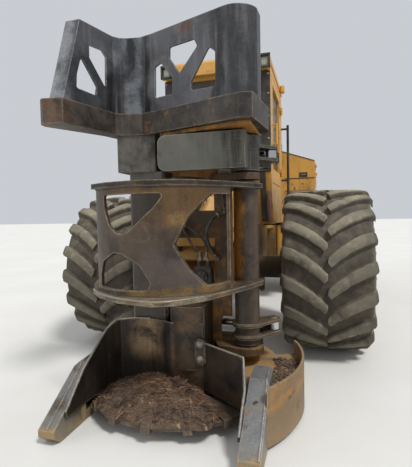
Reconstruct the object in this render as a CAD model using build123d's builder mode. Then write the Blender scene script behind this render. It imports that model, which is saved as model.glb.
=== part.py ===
from build123d import *
import os
from math import cos, hypot, pi, radians, sin

# Wheeled feller buncher: an articulated carrier on four wide tyres, with a
# disc-saw felling head on a short boom in front of its cab.
# Millimetres. +X is the machine's left, -Y is forward, +Z is up. The origin is
# on the ground, at the middle of the machine's length and width.

os.makedirs("parts", exist_ok=True)

# Carrier: places along the machine
wheelbase = 3200
front_reach = 2400
rear_overhang = 1350
track = 2340

front_axle_y = front_reach - (front_reach + wheelbase + rear_overhang) / 2
rear_axle_y = front_axle_y + wheelbase
hitch_y = front_axle_y + wheelbase / 2
tail_y = rear_axle_y + rear_overhang

# Clearances
fit_gap = 0.3
side_gap = 5

# Tyres and rims
tyre_od = 1700
tyre_width = 860
shoulder_drop = 50
lug_count = 21
lug_height = 55
lug_share = 0.42
lug_flank = 0.1
lug_sweep = radians(17)
rim_radius = 330
rim_width = 762
rim_wall = 14
flange_height = 26
flange_width = 14
rim_disc_offset = 20
rim_disc_thick = 26
hub_radius = 205
hub_length = 150
hub_cap_radius = 120
hub_cap_length = 60
hub_back = 60
axle_z = tyre_od / 2
lug_pitch = 2 * pi / lug_count
# The lug that stands on the ground is flat between its corners
tread_radius = tyre_od / 2 / cos(lug_share * lug_pitch / 2)

# Axles
axle_tube_radius = 120
brake_radius = 185
brake_length = 240
diff_radius = 255
diff_length = 330
axle_pad_width = 240
axle_pad_top = 190

# Frames
frame_half = 335
frame_plate = 40
frame_top = 1330
frame_low = 620
front_nose = 470
hitch_gap = 330
hitch_pin_radius = 50
hitch_plate = 60
rear_frame_half = 380


def plate_x(outline, x, thick, mode=Mode.ADD):
    """A plate with its outline in (y, z), from x to x + thick."""
    with BuildSketch(Plane.YZ.offset(x)) as face:
        with BuildLine():
            Polyline(*outline, close=True)
        make_face()
    extrude(face.sketch, amount=thick, mode=mode)


def plate_y(outline, y, thick, mode=Mode.ADD):
    """A plate with its outline in (x, z), from y to y + thick."""
    with BuildSketch(Plane.XZ.offset(-y - thick)) as face:
        with BuildLine():
            Polyline(*outline, close=True)
        make_face()
    extrude(face.sketch, amount=thick, mode=mode)


def plate_z(outline, z, thick, mode=Mode.ADD):
    """A plate with its outline in (x, y), from z to z + thick."""
    with BuildSketch(Plane.XY.offset(z)) as face:
        with BuildLine():
            Polyline(*outline, close=True)
        make_face()
    extrude(face.sketch, amount=thick, mode=mode)


def block(x, y, z, mode=Mode.ADD):
    """A box between a low and a high value on each axis."""
    with Locations(((x[0] + x[1]) / 2, (y[0] + y[1]) / 2, (z[0] + z[1]) / 2)):
        Box(x[1] - x[0], y[1] - y[0], z[1] - z[0], mode=mode)


def round_bar(start, end, radius, mode=Mode.ADD):
    """A round bar from one point to another."""
    way = Vector(*end) - Vector(*start)
    with BuildSketch(Plane(origin=start, z_dir=way)) as face:
        Circle(radius)
    extrude(face.sketch, amount=way.length, mode=mode)


def both(half, thick):
    """The low x of a pair of plates whose inner faces are half from the middle."""
    return (half, -half - thick)


def tread_outline(tip, turn):
    """A toothed outline about a wheel's axis: the lugs' tops are at tip."""
    corners = [(0, tip), (lug_share, tip), (lug_share + lug_flank, tip - lug_height),
               (1 - lug_flank, tip - lug_height)]
    points = []
    for i in range(lug_count):
        for share, radius in corners:
            angle = (i + share) * lug_pitch + turn
            points.append((radius * cos(angle), radius * sin(angle)))
    return points


# The four wheels turn on the axle ends
wheels = [
    ("front_left", 1, front_axle_y),
    ("front_right", -1, front_axle_y),
    ("rear_left", 1, rear_axle_y),
    ("rear_right", -1, rear_axle_y),
]
half_width = tyre_width / 2
bead_radius = rim_radius + flange_height + fit_gap
standing = -pi / 2 - lug_share * lug_pitch / 2
for name, side, y in wheels:
    wheel_centre = (side * track / 2, y, axle_z)
    # Profiles: x is the radius, y runs outwards along the wheel's axis
    section = Plane(origin=wheel_centre, x_dir=(0, 0, 1), z_dir=(0, side, 0))
    spin = Axis(wheel_centre, (1, 0, 0))
    across = Plane(origin=wheel_centre, x_dir=(0, 1, 0), z_dir=(1, 0, 0))

    with BuildPart() as tyre:
        # Two halves of slanted lugs that meet in a V, half a pitch apart
        for way, turn in ((1, standing), (-1, standing + lug_pitch / 2)):
            ends = []
            for reach, tip, angle in ((0, tread_radius, turn),
                                      (half_width, tread_radius - shoulder_drop, turn - lug_sweep)):
                with BuildSketch(across.offset(way * reach)) as end:
                    with BuildLine():
                        Polyline(*tread_outline(tip, angle), close=True)
                    make_face()
                ends.append(end.sketch.faces()[0])
            loft(ends, ruled=True)
        with BuildSketch(across.offset(-half_width)) as bore:
            Circle(rim_radius)
        extrude(bore.sketch, amount=tyre_width, mode=Mode.SUBTRACT)
        # Room for the rim's flanges
        for way in (1, -1):
            with BuildSketch(across.offset(way * rim_width / 2)) as bead:
                Circle(bead_radius)
            extrude(bead.sketch, amount=way * (half_width - rim_width / 2 + 1), mode=Mode.SUBTRACT)
    tyre.part.label = f"tyre_{name}"
    export_step(tyre.part, f"parts/tyre_{name}.step")

    disc_face = rim_disc_offset + rim_disc_thick
    with BuildPart() as rim:
        with BuildSketch(section):
            with BuildLine():
                Polyline(
                    (0, -hub_back), (hub_cap_radius, -hub_back), (hub_radius, rim_disc_offset),
                    (rim_radius - rim_wall, rim_disc_offset),
                         (rim_radius - rim_wall, -rim_width / 2 - flange_width),
                    (rim_radius + flange_height, -rim_width / 2 - flange_width),
                    (rim_radius + flange_height, -rim_width / 2), (rim_radius, -rim_width / 2),
                    (rim_radius, rim_width / 2), (rim_radius + flange_height, rim_width / 2),
                    (rim_radius + flange_height, rim_width / 2 + flange_width),
                    (rim_radius - rim_wall, rim_width / 2 + flange_width),
                         (rim_radius - rim_wall, disc_face),
                    (hub_radius, disc_face), (hub_radius, disc_face + hub_length),
                    (hub_cap_radius, disc_face + hub_length),
                         (hub_cap_radius, disc_face + hub_length + hub_cap_length),
                    (0, disc_face + hub_length + hub_cap_length), close=True)
            make_face()
        revolve(axis=spin)
    rim.part.label = f"rim_{name}"
    export_step(rim.part, f"parts/rim_{name}.step")

# Both axles are one casing each, bolted under the frame plates
axle_half = track / 2 - hub_back - fit_gap
for name, y, pad_half in (("front_axle", front_axle_y, frame_half), ("rear_axle", rear_axle_y, 0)):
    with BuildPart() as axle:
        round_bar((-axle_half, y, axle_z), (axle_half, y, axle_z), axle_tube_radius)
        for side in (1, -1):
            inner = side * (axle_half - brake_length)
            round_bar((inner, y, axle_z), (side * (axle_half - 30), y, axle_z), brake_radius)
        round_bar((-diff_length / 2, y, axle_z), (diff_length / 2, y, axle_z), diff_radius)
        # The input flange faces the hitch in the middle of the machine
        toward = 1 if y < hitch_y else -1
        round_bar((0, y, axle_z), (0, y + toward * (diff_radius + 70), axle_z), 90)
        if pad_half:
            for x in both(frame_half, frame_plate):
                block((x, x + frame_plate), (y - axle_pad_width / 2, y + axle_pad_width / 2),
                      (axle_z, axle_z + axle_pad_top))
        else:
            # The rear axle rocks on a cradle pin along the machine
            block((-150, 150), (y - axle_pad_width / 2, y + axle_pad_width / 2),
                  (axle_z, axle_z + diff_radius + 30))
    axle.part.label = name
    export_step(axle.part, f"parts/{name}.step")

# Boom and its cylinders: places in the (y, z) plane
boom_pivot = (front_axle_y - 400, 1550)
head_pivot = (front_axle_y - 1100, 850)
boom_half = 245
boom_plate = 30
boom_boss_radius = 95
boom_pin_radius = 50
tower_radius = 140
lift_x = 470
lift_base = (front_axle_y - 330, 700)
lift_eye = (front_axle_y - 960, 1210)
tilt_base = (front_axle_y - 500, 1820)
tilt_eye = (front_axle_y - 1290, 1380)

# Clevises and cylinders: (eye width, eye radius, barrel radius, rod radius)
eye_width = 60
ear_plate = 22
ear_radius = 62
eye_radius = 48
cylinder_pin_radius = 24
pin_head = 12
pin_head_radius = 34
gland = 25
barrel_base = 24
steer_base = (270, hitch_y - 795)
steer_eye = (216, hitch_y + 104)
steer_z = 990

# How far the joints turn, in degrees
steer_range = (-45, 45)
lift_range = (-3, 32)
tilt_range = (-12, 18)
harvest_range = (0, 100)
gather_range = (0, 95)

# Front frame: two long plates with the boom's towers in front, tied by cross
# plates, with a pair of level hitch lugs behind
front_end = front_axle_y - front_nose
lug_half = 260
ear_gap = eye_width + 2 * side_gap
ear_out = ear_gap / 2 + ear_plate
neck_radius = eye_width / 2 - 2
barrel_start = ear_radius + 10


def ear_pin(middle, across, pinned):
    """Pin heads outside a pair of ears, with the pin between them if pinned."""
    middle, across = Vector(*middle), Vector(*across)
    for way in (1, -1):
        face = middle + across * (way * ear_out)
        round_bar(face, face + across * (way * pin_head), pin_head_radius)
    if pinned:
        round_bar(middle - across * ear_out, middle + across * ear_out, cylinder_pin_radius)


def upright_ears(place, x, root, pinned=False):
    """Two ears in x planes for a level pin across the machine, rooted at root."""
    for low in (x - ear_out, x + ear_gap / 2):
        with BuildSketch(Plane.YZ.offset(low)) as ear:
            with Locations(place):
                Circle(ear_radius)
            with BuildLine():
                Polyline(*root, close=True)
            make_face()
        extrude(ear.sketch, amount=ear_plate)
    ear_pin((x, *place), (1, 0, 0), pinned)


def level_ears(place, z, root, pinned=False):
    """Two ears in z planes for an upright pin, rooted at root."""
    for low in (z - ear_out, z + ear_gap / 2):
        with BuildSketch(Plane.XY.offset(low)) as ear:
            with Locations(place):
                Circle(ear_radius)
            with BuildLine():
                Polyline(*root, close=True)
            make_face()
        extrude(ear.sketch, amount=ear_plate)
    ear_pin((*place, z), (0, 0, 1), pinned)


def straight_root(place, far):
    """The sides of an ear that runs along y from its pin to a plate at far."""
    x, y = place
    return [(x - ear_radius, y), (x + ear_radius, y), (x + ear_radius, far), (x - ear_radius, far)]


def turned(point, centre, angle):
    """A point in a plane turned about a centre, in degrees, anticlockwise."""
    a, b = point[0] - centre[0], point[1] - centre[1]
    c, s = cos(radians(angle)), sin(radians(angle))
    return (centre[0] + a * c - b * s, centre[1] + a * s + b * c)


def span(a, b):
    """The distance between two places in a plane."""
    return hypot(a[0] - b[0], a[1] - b[1])


def barrel(base, eye, across, shortest, radius, rod):
    """A cylinder's barrel: an eye at its base and a bore for the rod."""
    base, eye, across = Vector(*base), Vector(*eye), Vector(*across)
    way = (eye - base).normalized()
    mouth = shortest - barrel_start - gland
    round_bar(base - across * (eye_width / 2), base + across * (eye_width / 2), eye_radius)
    round_bar(base + way * (eye_radius * 0.6), base + way * (barrel_start + 5), neck_radius)
    round_bar(base + way * barrel_start, base + way * mouth, radius)
    round_bar(base + way * (mouth - 45), base + way * mouth, radius + 5)
    round_bar(base + way * (barrel_start + barrel_base), base + way * (mouth + 1), rod + fit_gap,
              Mode.SUBTRACT)
    round_bar(base - across * eye_width, base + across * eye_width, cylinder_pin_radius + fit_gap,
              Mode.SUBTRACT)


def piston_rod(base, eye, across, shortest, rod):
    """A cylinder's rod: from just clear of the barrel's base to its eye."""
    base, eye, across = Vector(*base), Vector(*eye), Vector(*across)
    way = (eye - base).normalized()
    out = (eye - base).length - shortest
    round_bar(base + way * (barrel_start + barrel_base + 10 + out), eye - way * barrel_start, rod)
    round_bar(eye - way * (barrel_start + 1), eye - way * (eye_radius * 0.6), min(rod, neck_radius))
    round_bar(eye - across * (eye_width / 2), eye + across * (eye_width / 2), eye_radius)
    round_bar(eye - across * eye_width, eye + across * eye_width, cylinder_pin_radius, Mode.SUBTRACT)


front_outline = [
    (front_end, 640), (front_end - 20, 1100), (boom_pivot[0] - tower_radius, boom_pivot[1]),
    (boom_pivot[0] - 90, boom_pivot[1] + tower_radius), (boom_pivot[0] + 90, boom_pivot[1] + tower_radius),
    (boom_pivot[0] + tower_radius + 60, frame_top), (hitch_y - hitch_gap, frame_top),
    (hitch_y - hitch_gap, frame_low), (front_axle_y + 420, frame_low),
    (front_axle_y + axle_pad_width / 2 + 60, axle_z + axle_pad_top - 60),
    (front_axle_y + axle_pad_width / 2, axle_z + axle_pad_top),
    (front_axle_y - axle_pad_width / 2, axle_z + axle_pad_top),
    (front_axle_y - axle_pad_width / 2 - 60, axle_z + axle_pad_top - 60),
    (front_axle_y - 200, 640),
]
with BuildPart() as front_frame:
    for x in both(frame_half, frame_plate):
        plate_x(front_outline, x, frame_plate)
    # Cross plates: nose, under the cab, and ahead of the hitch
    block((-frame_half, frame_half), (front_end, front_end + 40), (700, 1100))
    block((-frame_half, frame_half), (front_axle_y - 150, hitch_y - hitch_gap), (frame_top - 40, frame_top))
    steer_plate_y = steer_base[1] - 160
    block((-frame_half, frame_half), (steer_plate_y - 40, steer_plate_y), (frame_low, frame_top - 40))
    # Hitch lugs
    for z in (frame_low, frame_top - hitch_plate):
        plate_z([(-frame_half, hitch_y - 620), (frame_half, hitch_y - 620),
                 (frame_half, hitch_y - hitch_gap),
                 (lug_half / 2, hitch_y), (-lug_half / 2, hitch_y), (-frame_half, hitch_y - hitch_gap)], z,
                hitch_plate)
        with BuildSketch(Plane.XY.offset(z)) as nose:
            with Locations((0, hitch_y)):
                Circle(lug_half / 2)
        extrude(nose.sketch, amount=hitch_plate)
    lug_top = frame_top - hitch_plate
    lug_low = frame_low + hitch_plate
    round_bar((0, hitch_y, lug_top - hitch_plate - side_gap), (0, hitch_y, frame_top), hitch_pin_radius)
    round_bar((0, hitch_y, frame_low), (0, hitch_y, lug_low + hitch_plate + side_gap), hitch_pin_radius)
    # Bores of the boom's pivot pin
    round_bar((-frame_half - 60, *boom_pivot), (frame_half + 60, *boom_pivot), boom_pin_radius + fit_gap,
              Mode.SUBTRACT)
    # Clevises of the lift cylinders, outside the plates
    for side in (1, -1):
        x = side * lift_x
        upright_ears(lift_base, x, [(lift_base[0], lift_base[1] + 62),
                                    (lift_base[0] + 110, lift_base[1] + 62),
                                    (lift_base[0] + 110, lift_base[1] - 62),
                                    (lift_base[0], lift_base[1] - 62)], True)
        block(sorted((side * frame_half, side * (lift_x + ear_out))),
              (lift_base[0] + 75, lift_base[0] + 125), (lift_base[1] - 62, lift_base[1] + 62))
    # Clevises of the steering cylinders, on the cross plate behind the axle
    for side in (1, -1):
        x, y = side * steer_base[0], steer_base[1]
        level_ears((x, y), steer_z, straight_root((x, y), steer_plate_y), True)
front_frame.part.label = "front_frame"
export_step(front_frame.part, "parts/front_frame.step")

# Rear frame: two long plates from the hitch lugs to the bumper
rear_cross_y = hitch_y + 420
deck_z = 1250
deck_plate = 40
rear_lug_gap = side_gap
with BuildPart() as rear_frame:
    for x in both(rear_frame_half, frame_plate):
        plate_x([(rear_cross_y, 680), (rear_cross_y, deck_z), (tail_y - 120, deck_z), (tail_y - 120, 700),
                 (rear_axle_y + 420, 640), (rear_axle_y + 200, axle_z + diff_radius + 30),
                 (rear_axle_y - 200, axle_z + diff_radius + 30), (rear_axle_y - 420, 640)], x, frame_plate)
    block((-rear_frame_half - frame_plate, rear_frame_half + frame_plate), (rear_cross_y, tail_y - 120),
          (deck_z, deck_z + deck_plate))
    block((-rear_frame_half, rear_frame_half), (rear_cross_y, rear_cross_y + 40), (680, deck_z))
    block((-rear_frame_half, rear_frame_half), (rear_axle_y - 200, rear_axle_y + 200),
          (axle_z + diff_radius + 30, deck_z))
    for z in (lug_low + rear_lug_gap, lug_top - hitch_plate - rear_lug_gap):
        plate_z([(-lug_half / 2, hitch_y), (lug_half / 2, hitch_y), (rear_frame_half, rear_cross_y),
                 (-rear_frame_half, rear_cross_y)], z, hitch_plate)
        with BuildSketch(Plane.XY.offset(z)) as nose:
            with Locations((0, hitch_y)):
                Circle(lug_half / 2)
        extrude(nose.sketch, amount=hitch_plate)
    round_bar((0, hitch_y, frame_low), (0, hitch_y, frame_top), hitch_pin_radius + fit_gap, Mode.SUBTRACT)
    for side in (1, -1):
        x, y = side * steer_eye[0], steer_eye[1]
        level_ears((x, y), steer_z, straight_root((x, y), rear_cross_y))
rear_frame.part.label = "rear_frame"
export_step(rear_frame.part, "parts/rear_frame.step")

# Cab: a hollow shell between the front tyres, its door in the left wall
cab_half = 600
cab_front_y = front_axle_y - 100
cab_back_y = front_axle_y + 1200
cab_floor_z = frame_top
cab_toe_z = 1900
cab_toe_y = front_axle_y + 60
cab_top_z = 3060
cab_wall = 50
roof_thick = 90
roof_overhang = 100
roof_side = 10
fascia_drop = 70
fascia_thick = 60
lamp_x = (cab_half - 100, cab_half)
lamp_z = (cab_top_z - 55, cab_top_z + 50)
lamp_recess = 40
pillar = 90
window_low_z = 1960
window_top_z = cab_top_z - 100
door_y = (front_axle_y + 40, front_axle_y + 960)
door_low_z = 1800
door_top_z = cab_top_z - 80
door_gap = 8
glass_thick = 8
hinge_radius = 16

cab_side = [(cab_front_y, cab_top_z), (cab_front_y, cab_toe_z), (cab_toe_y, cab_floor_z),
            (cab_back_y, cab_floor_z),
            (cab_back_y, cab_top_z)]
window_z = (window_low_z, window_top_z)
front_window_x = (pillar - cab_half, cab_half - pillar)
side_window_y = (cab_front_y + pillar, cab_back_y - pillar)
door_hinge = (cab_half + hinge_radius + 6, door_y[1] + 4)
with BuildPart() as cab_shell:
    plate_x(cab_side, -cab_half, 2 * cab_half)
    inside = [(cab_front_y + cab_wall, cab_top_z), (cab_front_y + cab_wall, cab_toe_z + 15),
              (cab_toe_y + 25, cab_floor_z + cab_wall), (cab_back_y - cab_wall, cab_floor_z + cab_wall),
              (cab_back_y - cab_wall, cab_top_z)]
    plate_x(inside, cab_wall - cab_half, 2 * (cab_half - cab_wall), Mode.SUBTRACT)
    # Windows: front, back and right, then the door's opening on the left
    block(front_window_x, (cab_front_y - 1, cab_front_y + cab_wall + 1), window_z, Mode.SUBTRACT)
    block(front_window_x, (cab_back_y - cab_wall - 1, cab_back_y + 1), (window_low_z + 240, window_top_z),
          Mode.SUBTRACT)
    block((-cab_half - 1, cab_wall - cab_half + 1), side_window_y, window_z, Mode.SUBTRACT)
    block((cab_half - cab_wall - 1, cab_half + 1), (door_y[0] - door_gap, door_y[1] + door_gap),
          (door_low_z - door_gap, door_top_z + door_gap), Mode.SUBTRACT)
    # Hinge knuckles of the door, at its back edge
    for z in (door_low_z + 180, door_top_z - 180):
        round_bar((*door_hinge, z - 45), (*door_hinge, z), hinge_radius)
        round_bar((*door_hinge, z - 45), (*door_hinge, z + 45), hinge_radius / 2)
        block((cab_half - 2, cab_half + hinge_radius), (door_hinge[1], door_hinge[1] + 70), (z - 45, z))
cab_shell.part.label = "cab_shell"
export_step(cab_shell.part, "parts/cab_shell.step")

with BuildPart() as cab_roof:
    block((-cab_half - roof_side, cab_half + roof_side), (cab_front_y - roof_overhang, cab_back_y + 20),
          (cab_top_z, cab_top_z + roof_thick))
    top_edges = cab_roof.faces().sort_by(Axis.Z)[-1].edges()
    chamfer(top_edges, 35)
    # Fascia over the windscreen, with a work lamp in a recess at each end
    front = cab_front_y - roof_overhang
    block((-cab_half - roof_side, cab_half + roof_side), (front, front + fascia_thick),
          (cab_top_z - fascia_drop, cab_top_z + 1))
    for side in (1, -1):
        low, high = sorted((side * lamp_x[0], side * lamp_x[1]))
        block((low, high), (front - 1, front + lamp_recess), lamp_z, Mode.SUBTRACT)
        block((low + 8, high - 8), (front + 12, front + lamp_recess + 1), (lamp_z[0] + 8, lamp_z[1] - 8))
cab_roof.part.label = "cab_roof"
export_step(cab_roof.part, "parts/cab_roof.step")

with BuildPart() as cab_glass:
    y = cab_front_y + cab_wall / 2
    pane_x = (front_window_x[0] + fit_gap, front_window_x[1] - fit_gap)
    pane_z = (window_z[0] + fit_gap, window_z[1] - fit_gap)
    block(pane_x, (y, y + glass_thick), pane_z)
    y = cab_back_y - cab_wall / 2
    block(pane_x, (y - glass_thick, y), (pane_z[0] + 240, pane_z[1]))
    x = -cab_half + cab_wall / 2
    block((x, x + glass_thick), (side_window_y[0] + fit_gap, side_window_y[1] - fit_gap), pane_z)
cab_glass.part.label = "cab_glass"
export_step(cab_glass.part, "parts/cab_glass.step")

door_x = (cab_half - cab_wall, cab_half)
door_border = 80
with BuildPart() as cab_door:
    block(door_x, door_y, (door_low_z, door_top_z))
    block((door_x[0] - 1, door_x[1] + 1), (door_y[0] + door_border, door_y[1] - door_border),
          (door_low_z + 160, door_top_z - door_border), Mode.SUBTRACT)
    for z in (door_low_z + 180, door_top_z - 180):
        round_bar((*door_hinge, z + 1), (*door_hinge, z + 45), hinge_radius)
        round_bar((*door_hinge, z), (*door_hinge, z + 46), hinge_radius / 2 + fit_gap, Mode.SUBTRACT)
        block((cab_half - 2, cab_half + hinge_radius - 2),
              (door_hinge[1] - 70, door_hinge[1] - hinge_radius + 4), (z + 1, z + 45))
    # Pull handle on a standoff at each end
    handle_y = door_y[0] + door_border / 2
    round_bar((cab_half + 45, handle_y, door_low_z + 420), (cab_half + 45, handle_y, door_low_z + 660), 11)
    for z in (door_low_z + 435, door_low_z + 645):
        round_bar((cab_half - 5, handle_y, z), (cab_half + 45, handle_y, z), 9)
cab_door.part.label = "cab_door"
export_step(cab_door.part, "parts/cab_door.step")

with BuildPart() as door_glass:
    x = cab_half - cab_wall / 2
    block((x - glass_thick, x), (door_y[0] + door_border + fit_gap, door_y[1] - door_border - fit_gap),
          (door_low_z + 160 + fit_gap, door_top_z - door_border - fit_gap))
door_glass.part.label = "door_glass"
export_step(door_glass.part, "parts/door_glass.step")

# Guards: bars over the front, right and rear windows
guard_bar = 14
guard_frame = 30
guard_pitch = 120
with BuildPart() as window_guards:
    z0, z1 = window_low_z - 30, window_top_z + 30
    y0, y1 = cab_front_y + pillar - 30, cab_back_y - pillar + 30
    x = -cab_half - guard_frame
    block((x, x + guard_frame), (y0, y1), (z0, z1))
    block((x - 1, x + guard_frame + 1), (y0 + guard_frame, y1 - guard_frame),
          (z0 + guard_frame, z1 - guard_frame), Mode.SUBTRACT)
    bars = int((z1 - z0) / guard_pitch)
    for i in range(1, bars):
        z = z0 + i * (z1 - z0) / bars
        block((x + 8, x + 8 + guard_bar), (y0 + guard_frame - 2, y1 - guard_frame + 2),
              (z - guard_bar / 2, z + guard_bar / 2))
    y = cab_back_y
    block((-cab_half + pillar - 30, cab_half - pillar + 30), (y, y + guard_frame), (z0 + 240, z1))
    block((-cab_half + pillar, cab_half - pillar), (y - 1, y + guard_frame + 1),
          (z0 + 270, z1 - guard_frame), Mode.SUBTRACT)
    count = 9
    for i in range(1, count):
        x = -cab_half + pillar + i * 2 * (cab_half - pillar) / count
        block((x - guard_bar / 2, x + guard_bar / 2), (y + 8, y + 8 + guard_bar),
              (z0 + 268, z1 - guard_frame + 2))
window_guards.part.label = "window_guards"
export_step(window_guards.part, "parts/window_guards.step")

# Inside the cab: the seat on its post and the lever pods with the front console
seat_y = front_axle_y + 640
seat_z = cab_floor_z + cab_wall
with BuildPart() as seat:
    block((-150, 150), (seat_y - 150, seat_y + 150), (seat_z, seat_z + 330))
    block((-260, 260), (seat_y - 270, seat_y + 260), (seat_z + 330, seat_z + 450))
    plate_x([(seat_y + 170, seat_z + 440), (seat_y + 290, seat_z + 440), (seat_y + 390, seat_z + 1130),
             (seat_y + 290, seat_z + 1130)], -240, 480)
seat.part.label = "seat"
export_step(seat.part, "parts/seat.step")

with BuildPart() as console:
    for side in (1, -1):
        x = side * 350
        block((x - 70, x + 70), (seat_y - 260, seat_y + 220), (seat_z, seat_z + 600))
        round_bar((x, seat_y - 180, seat_z + 590), (x, seat_y - 200, seat_z + 720), 16)
console.part.label = "console"
export_step(console.part, "parts/console.step")

# Engine house on the rear frame: a folded shell, open below, with a door in
# each side and the radiator grille in its tail
hood_front_y = hitch_y + 400
hood_back_y = tail_y - 100
hood_half = 1040
hood_low_z = 1800
hood_side_z = 2260
hood_top_z = 2450
hood_crest_half = 480
hood_waist_half = 560
hood_wall = 30
deck_top = deck_z + deck_plate
panel_gap = 8
panel_y = (hood_front_y + 260, hood_back_y - 240)
panel_z = (hood_low_z + 60, hood_side_z - 50)
panel_hinge_radius = 14
panel_hinge = (hood_half + panel_hinge_radius + 4, panel_z[1] + 4)
knuckle_y = (panel_y[0] + 200, panel_y[1] - 240)
knuckle_length = 80
louvre_count = 5
louvre_z = 1930
louvre_pitch = 50
louvre_out = 12
louvre_y = (rear_axle_y - 350, rear_axle_y + 450)
grille_half = 470
grille_z = (deck_top + 90, 2300)
grille_wall = 40

hood_section = [(-hood_waist_half, deck_top), (-hood_waist_half, hood_low_z), (-hood_half, hood_low_z),
                (-hood_half, hood_side_z), (-hood_crest_half, hood_top_z), (hood_crest_half, hood_top_z),
                (hood_half, hood_side_z), (hood_half, hood_low_z), (hood_waist_half, hood_low_z),
                (hood_waist_half, deck_top)]
with BuildPart() as hood:
    plate_y(hood_section, hood_front_y, hood_back_y - hood_front_y)
    # The space inside follows the same section, one wall in, and opens below
    with BuildSketch(Plane.XZ.offset(-hood_back_y + hood_wall)) as room:
        with BuildLine():
            Polyline(*hood_section, close=True)
        make_face()
        offset(amount=-hood_wall, kind=Kind.INTERSECTION)
    extrude(room.sketch, amount=hood_back_y - hood_front_y - 2 * hood_wall, mode=Mode.SUBTRACT)
    block((-hood_waist_half + hood_wall, hood_waist_half - hood_wall),
          (hood_front_y + hood_wall, hood_back_y - hood_wall),
          (deck_top - 1, deck_top + hood_wall + 1), Mode.SUBTRACT)
    for side in (1, -1):
        block(sorted((side * (hood_half - hood_wall - 1), side * (hood_half + 1))),
              (panel_y[0] - panel_gap, panel_y[1] + panel_gap),
              (panel_z[0] - panel_gap, panel_z[1] + panel_gap),
              Mode.SUBTRACT)
        x, z = side * panel_hinge[0], panel_hinge[1]
        for y in knuckle_y:
            round_bar((x, y - knuckle_length, z), (x, y, z), panel_hinge_radius)
            round_bar((x, y - knuckle_length, z), (x, y + knuckle_length, z), panel_hinge_radius / 2)
            block(sorted((side * (hood_half - 2), side * (hood_half + panel_hinge_radius))),
                  (y - knuckle_length, y), (z, hood_side_z - 6))
    block((-grille_half - fit_gap, grille_half + fit_gap), (hood_back_y - hood_wall - 1, hood_back_y + 1),
          (grille_z[0] - fit_gap, grille_z[1] + fit_gap), Mode.SUBTRACT)
hood.part.label = "hood"
export_step(hood.part, "parts/hood.step")

for name, side in (("engine_door_left", 1), ("engine_door_right", -1)):
    with BuildPart() as panel:
        block(sorted((side * (hood_half - hood_wall), side * hood_half)), panel_y, panel_z)
        # Louvres
        for i in range(louvre_count):
            z = louvre_z + i * louvre_pitch
            plate_y([(side * (hood_half - 1), z), (side * (hood_half + louvre_out), z),
                     (side * (hood_half - 1), z + 30)],
                    louvre_y[0], louvre_y[1] - louvre_y[0])
        x, z = side * panel_hinge[0], panel_hinge[1]
        for y in knuckle_y:
            round_bar((x, y + 1, z), (x, y + knuckle_length, z), panel_hinge_radius)
            round_bar((x, y, z), (x, y + knuckle_length + 1, z), panel_hinge_radius / 2 + fit_gap,
                      Mode.SUBTRACT)
            block(sorted((side * (hood_half - 2), side * (hood_half + panel_hinge_radius - 2))),
                  (y + 1, y + knuckle_length), (z - 60, z - panel_hinge_radius + 4))
    panel.part.label = name
    export_step(panel.part, f"parts/{name}.step")

# Rear grille: a frame with upright bars before the radiator core
with BuildPart() as rear_grille:
    block((-grille_half, grille_half), (hood_back_y - grille_wall, hood_back_y), grille_z)
    block((40 - grille_half, grille_half - 40), (hood_back_y - grille_wall - 1, hood_back_y + 1),
          (grille_z[0] + 40, grille_z[1] - 40), Mode.SUBTRACT)
    count = 14
    for i in range(1, count):
        x = 40 - grille_half + i * 2 * (grille_half - 40) / count
        block((x - 6, x + 6), (hood_back_y - 25, hood_back_y - 5), (grille_z[0] + 38, grille_z[1] - 38))
rear_grille.part.label = "rear_grille"
export_step(rear_grille.part, "parts/rear_grille.step")

radiator_y = hood_back_y - 260
with BuildPart() as radiator:
    block((-grille_half + 10, grille_half - 10), (radiator_y, radiator_y + 130),
          (deck_top, grille_z[1] - 20))
radiator.part.label = "radiator"
export_step(radiator.part, "parts/radiator.step")

with BuildPart() as engine_block:
    block((-300, 300), (rear_axle_y - 420, rear_axle_y + 560), (deck_top, deck_top + 780))
engine_block.part.label = "engine_block"
export_step(engine_block.part, "parts/engine_block.step")

# Exhaust stack and air precleaner stand on the engine house
stack_radius = 70
cleaner_radius = 130
with BuildPart() as stacks:
    x, y = -300, rear_axle_y - 100
    round_bar((x, y, hood_top_z), (x, y, hood_top_z + 420), stack_radius)
    round_bar((x, y, hood_top_z + 10), (x, y, hood_top_z + 425), stack_radius - 6, Mode.SUBTRACT)
    x, y = 280, rear_axle_y + 260
    round_bar((x, y, hood_top_z), (x, y, hood_top_z + 160), 70)
    round_bar((x, y, hood_top_z + 150), (x, y, hood_top_z + 330), cleaner_radius)
stacks.part.label = "stacks"
export_step(stacks.part, "parts/stacks.step")

# Fuel and oil tanks hang on the rear frame plates behind the hitch
tank_x = (rear_frame_half + frame_plate, 690)
with BuildPart() as side_tanks:
    for side in (1, -1):
        block(sorted((side * tank_x[0], side * tank_x[1])), (hitch_y + 430, rear_axle_y - 200),
              (760, deck_z + deck_plate))
    upright = side_tanks.edges().filter_by(Axis.Z).group_by(SortBy.LENGTH)[-1]
    fillet(upright, 50)
side_tanks.part.label = "side_tanks"
export_step(side_tanks.part, "parts/side_tanks.step")

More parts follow.
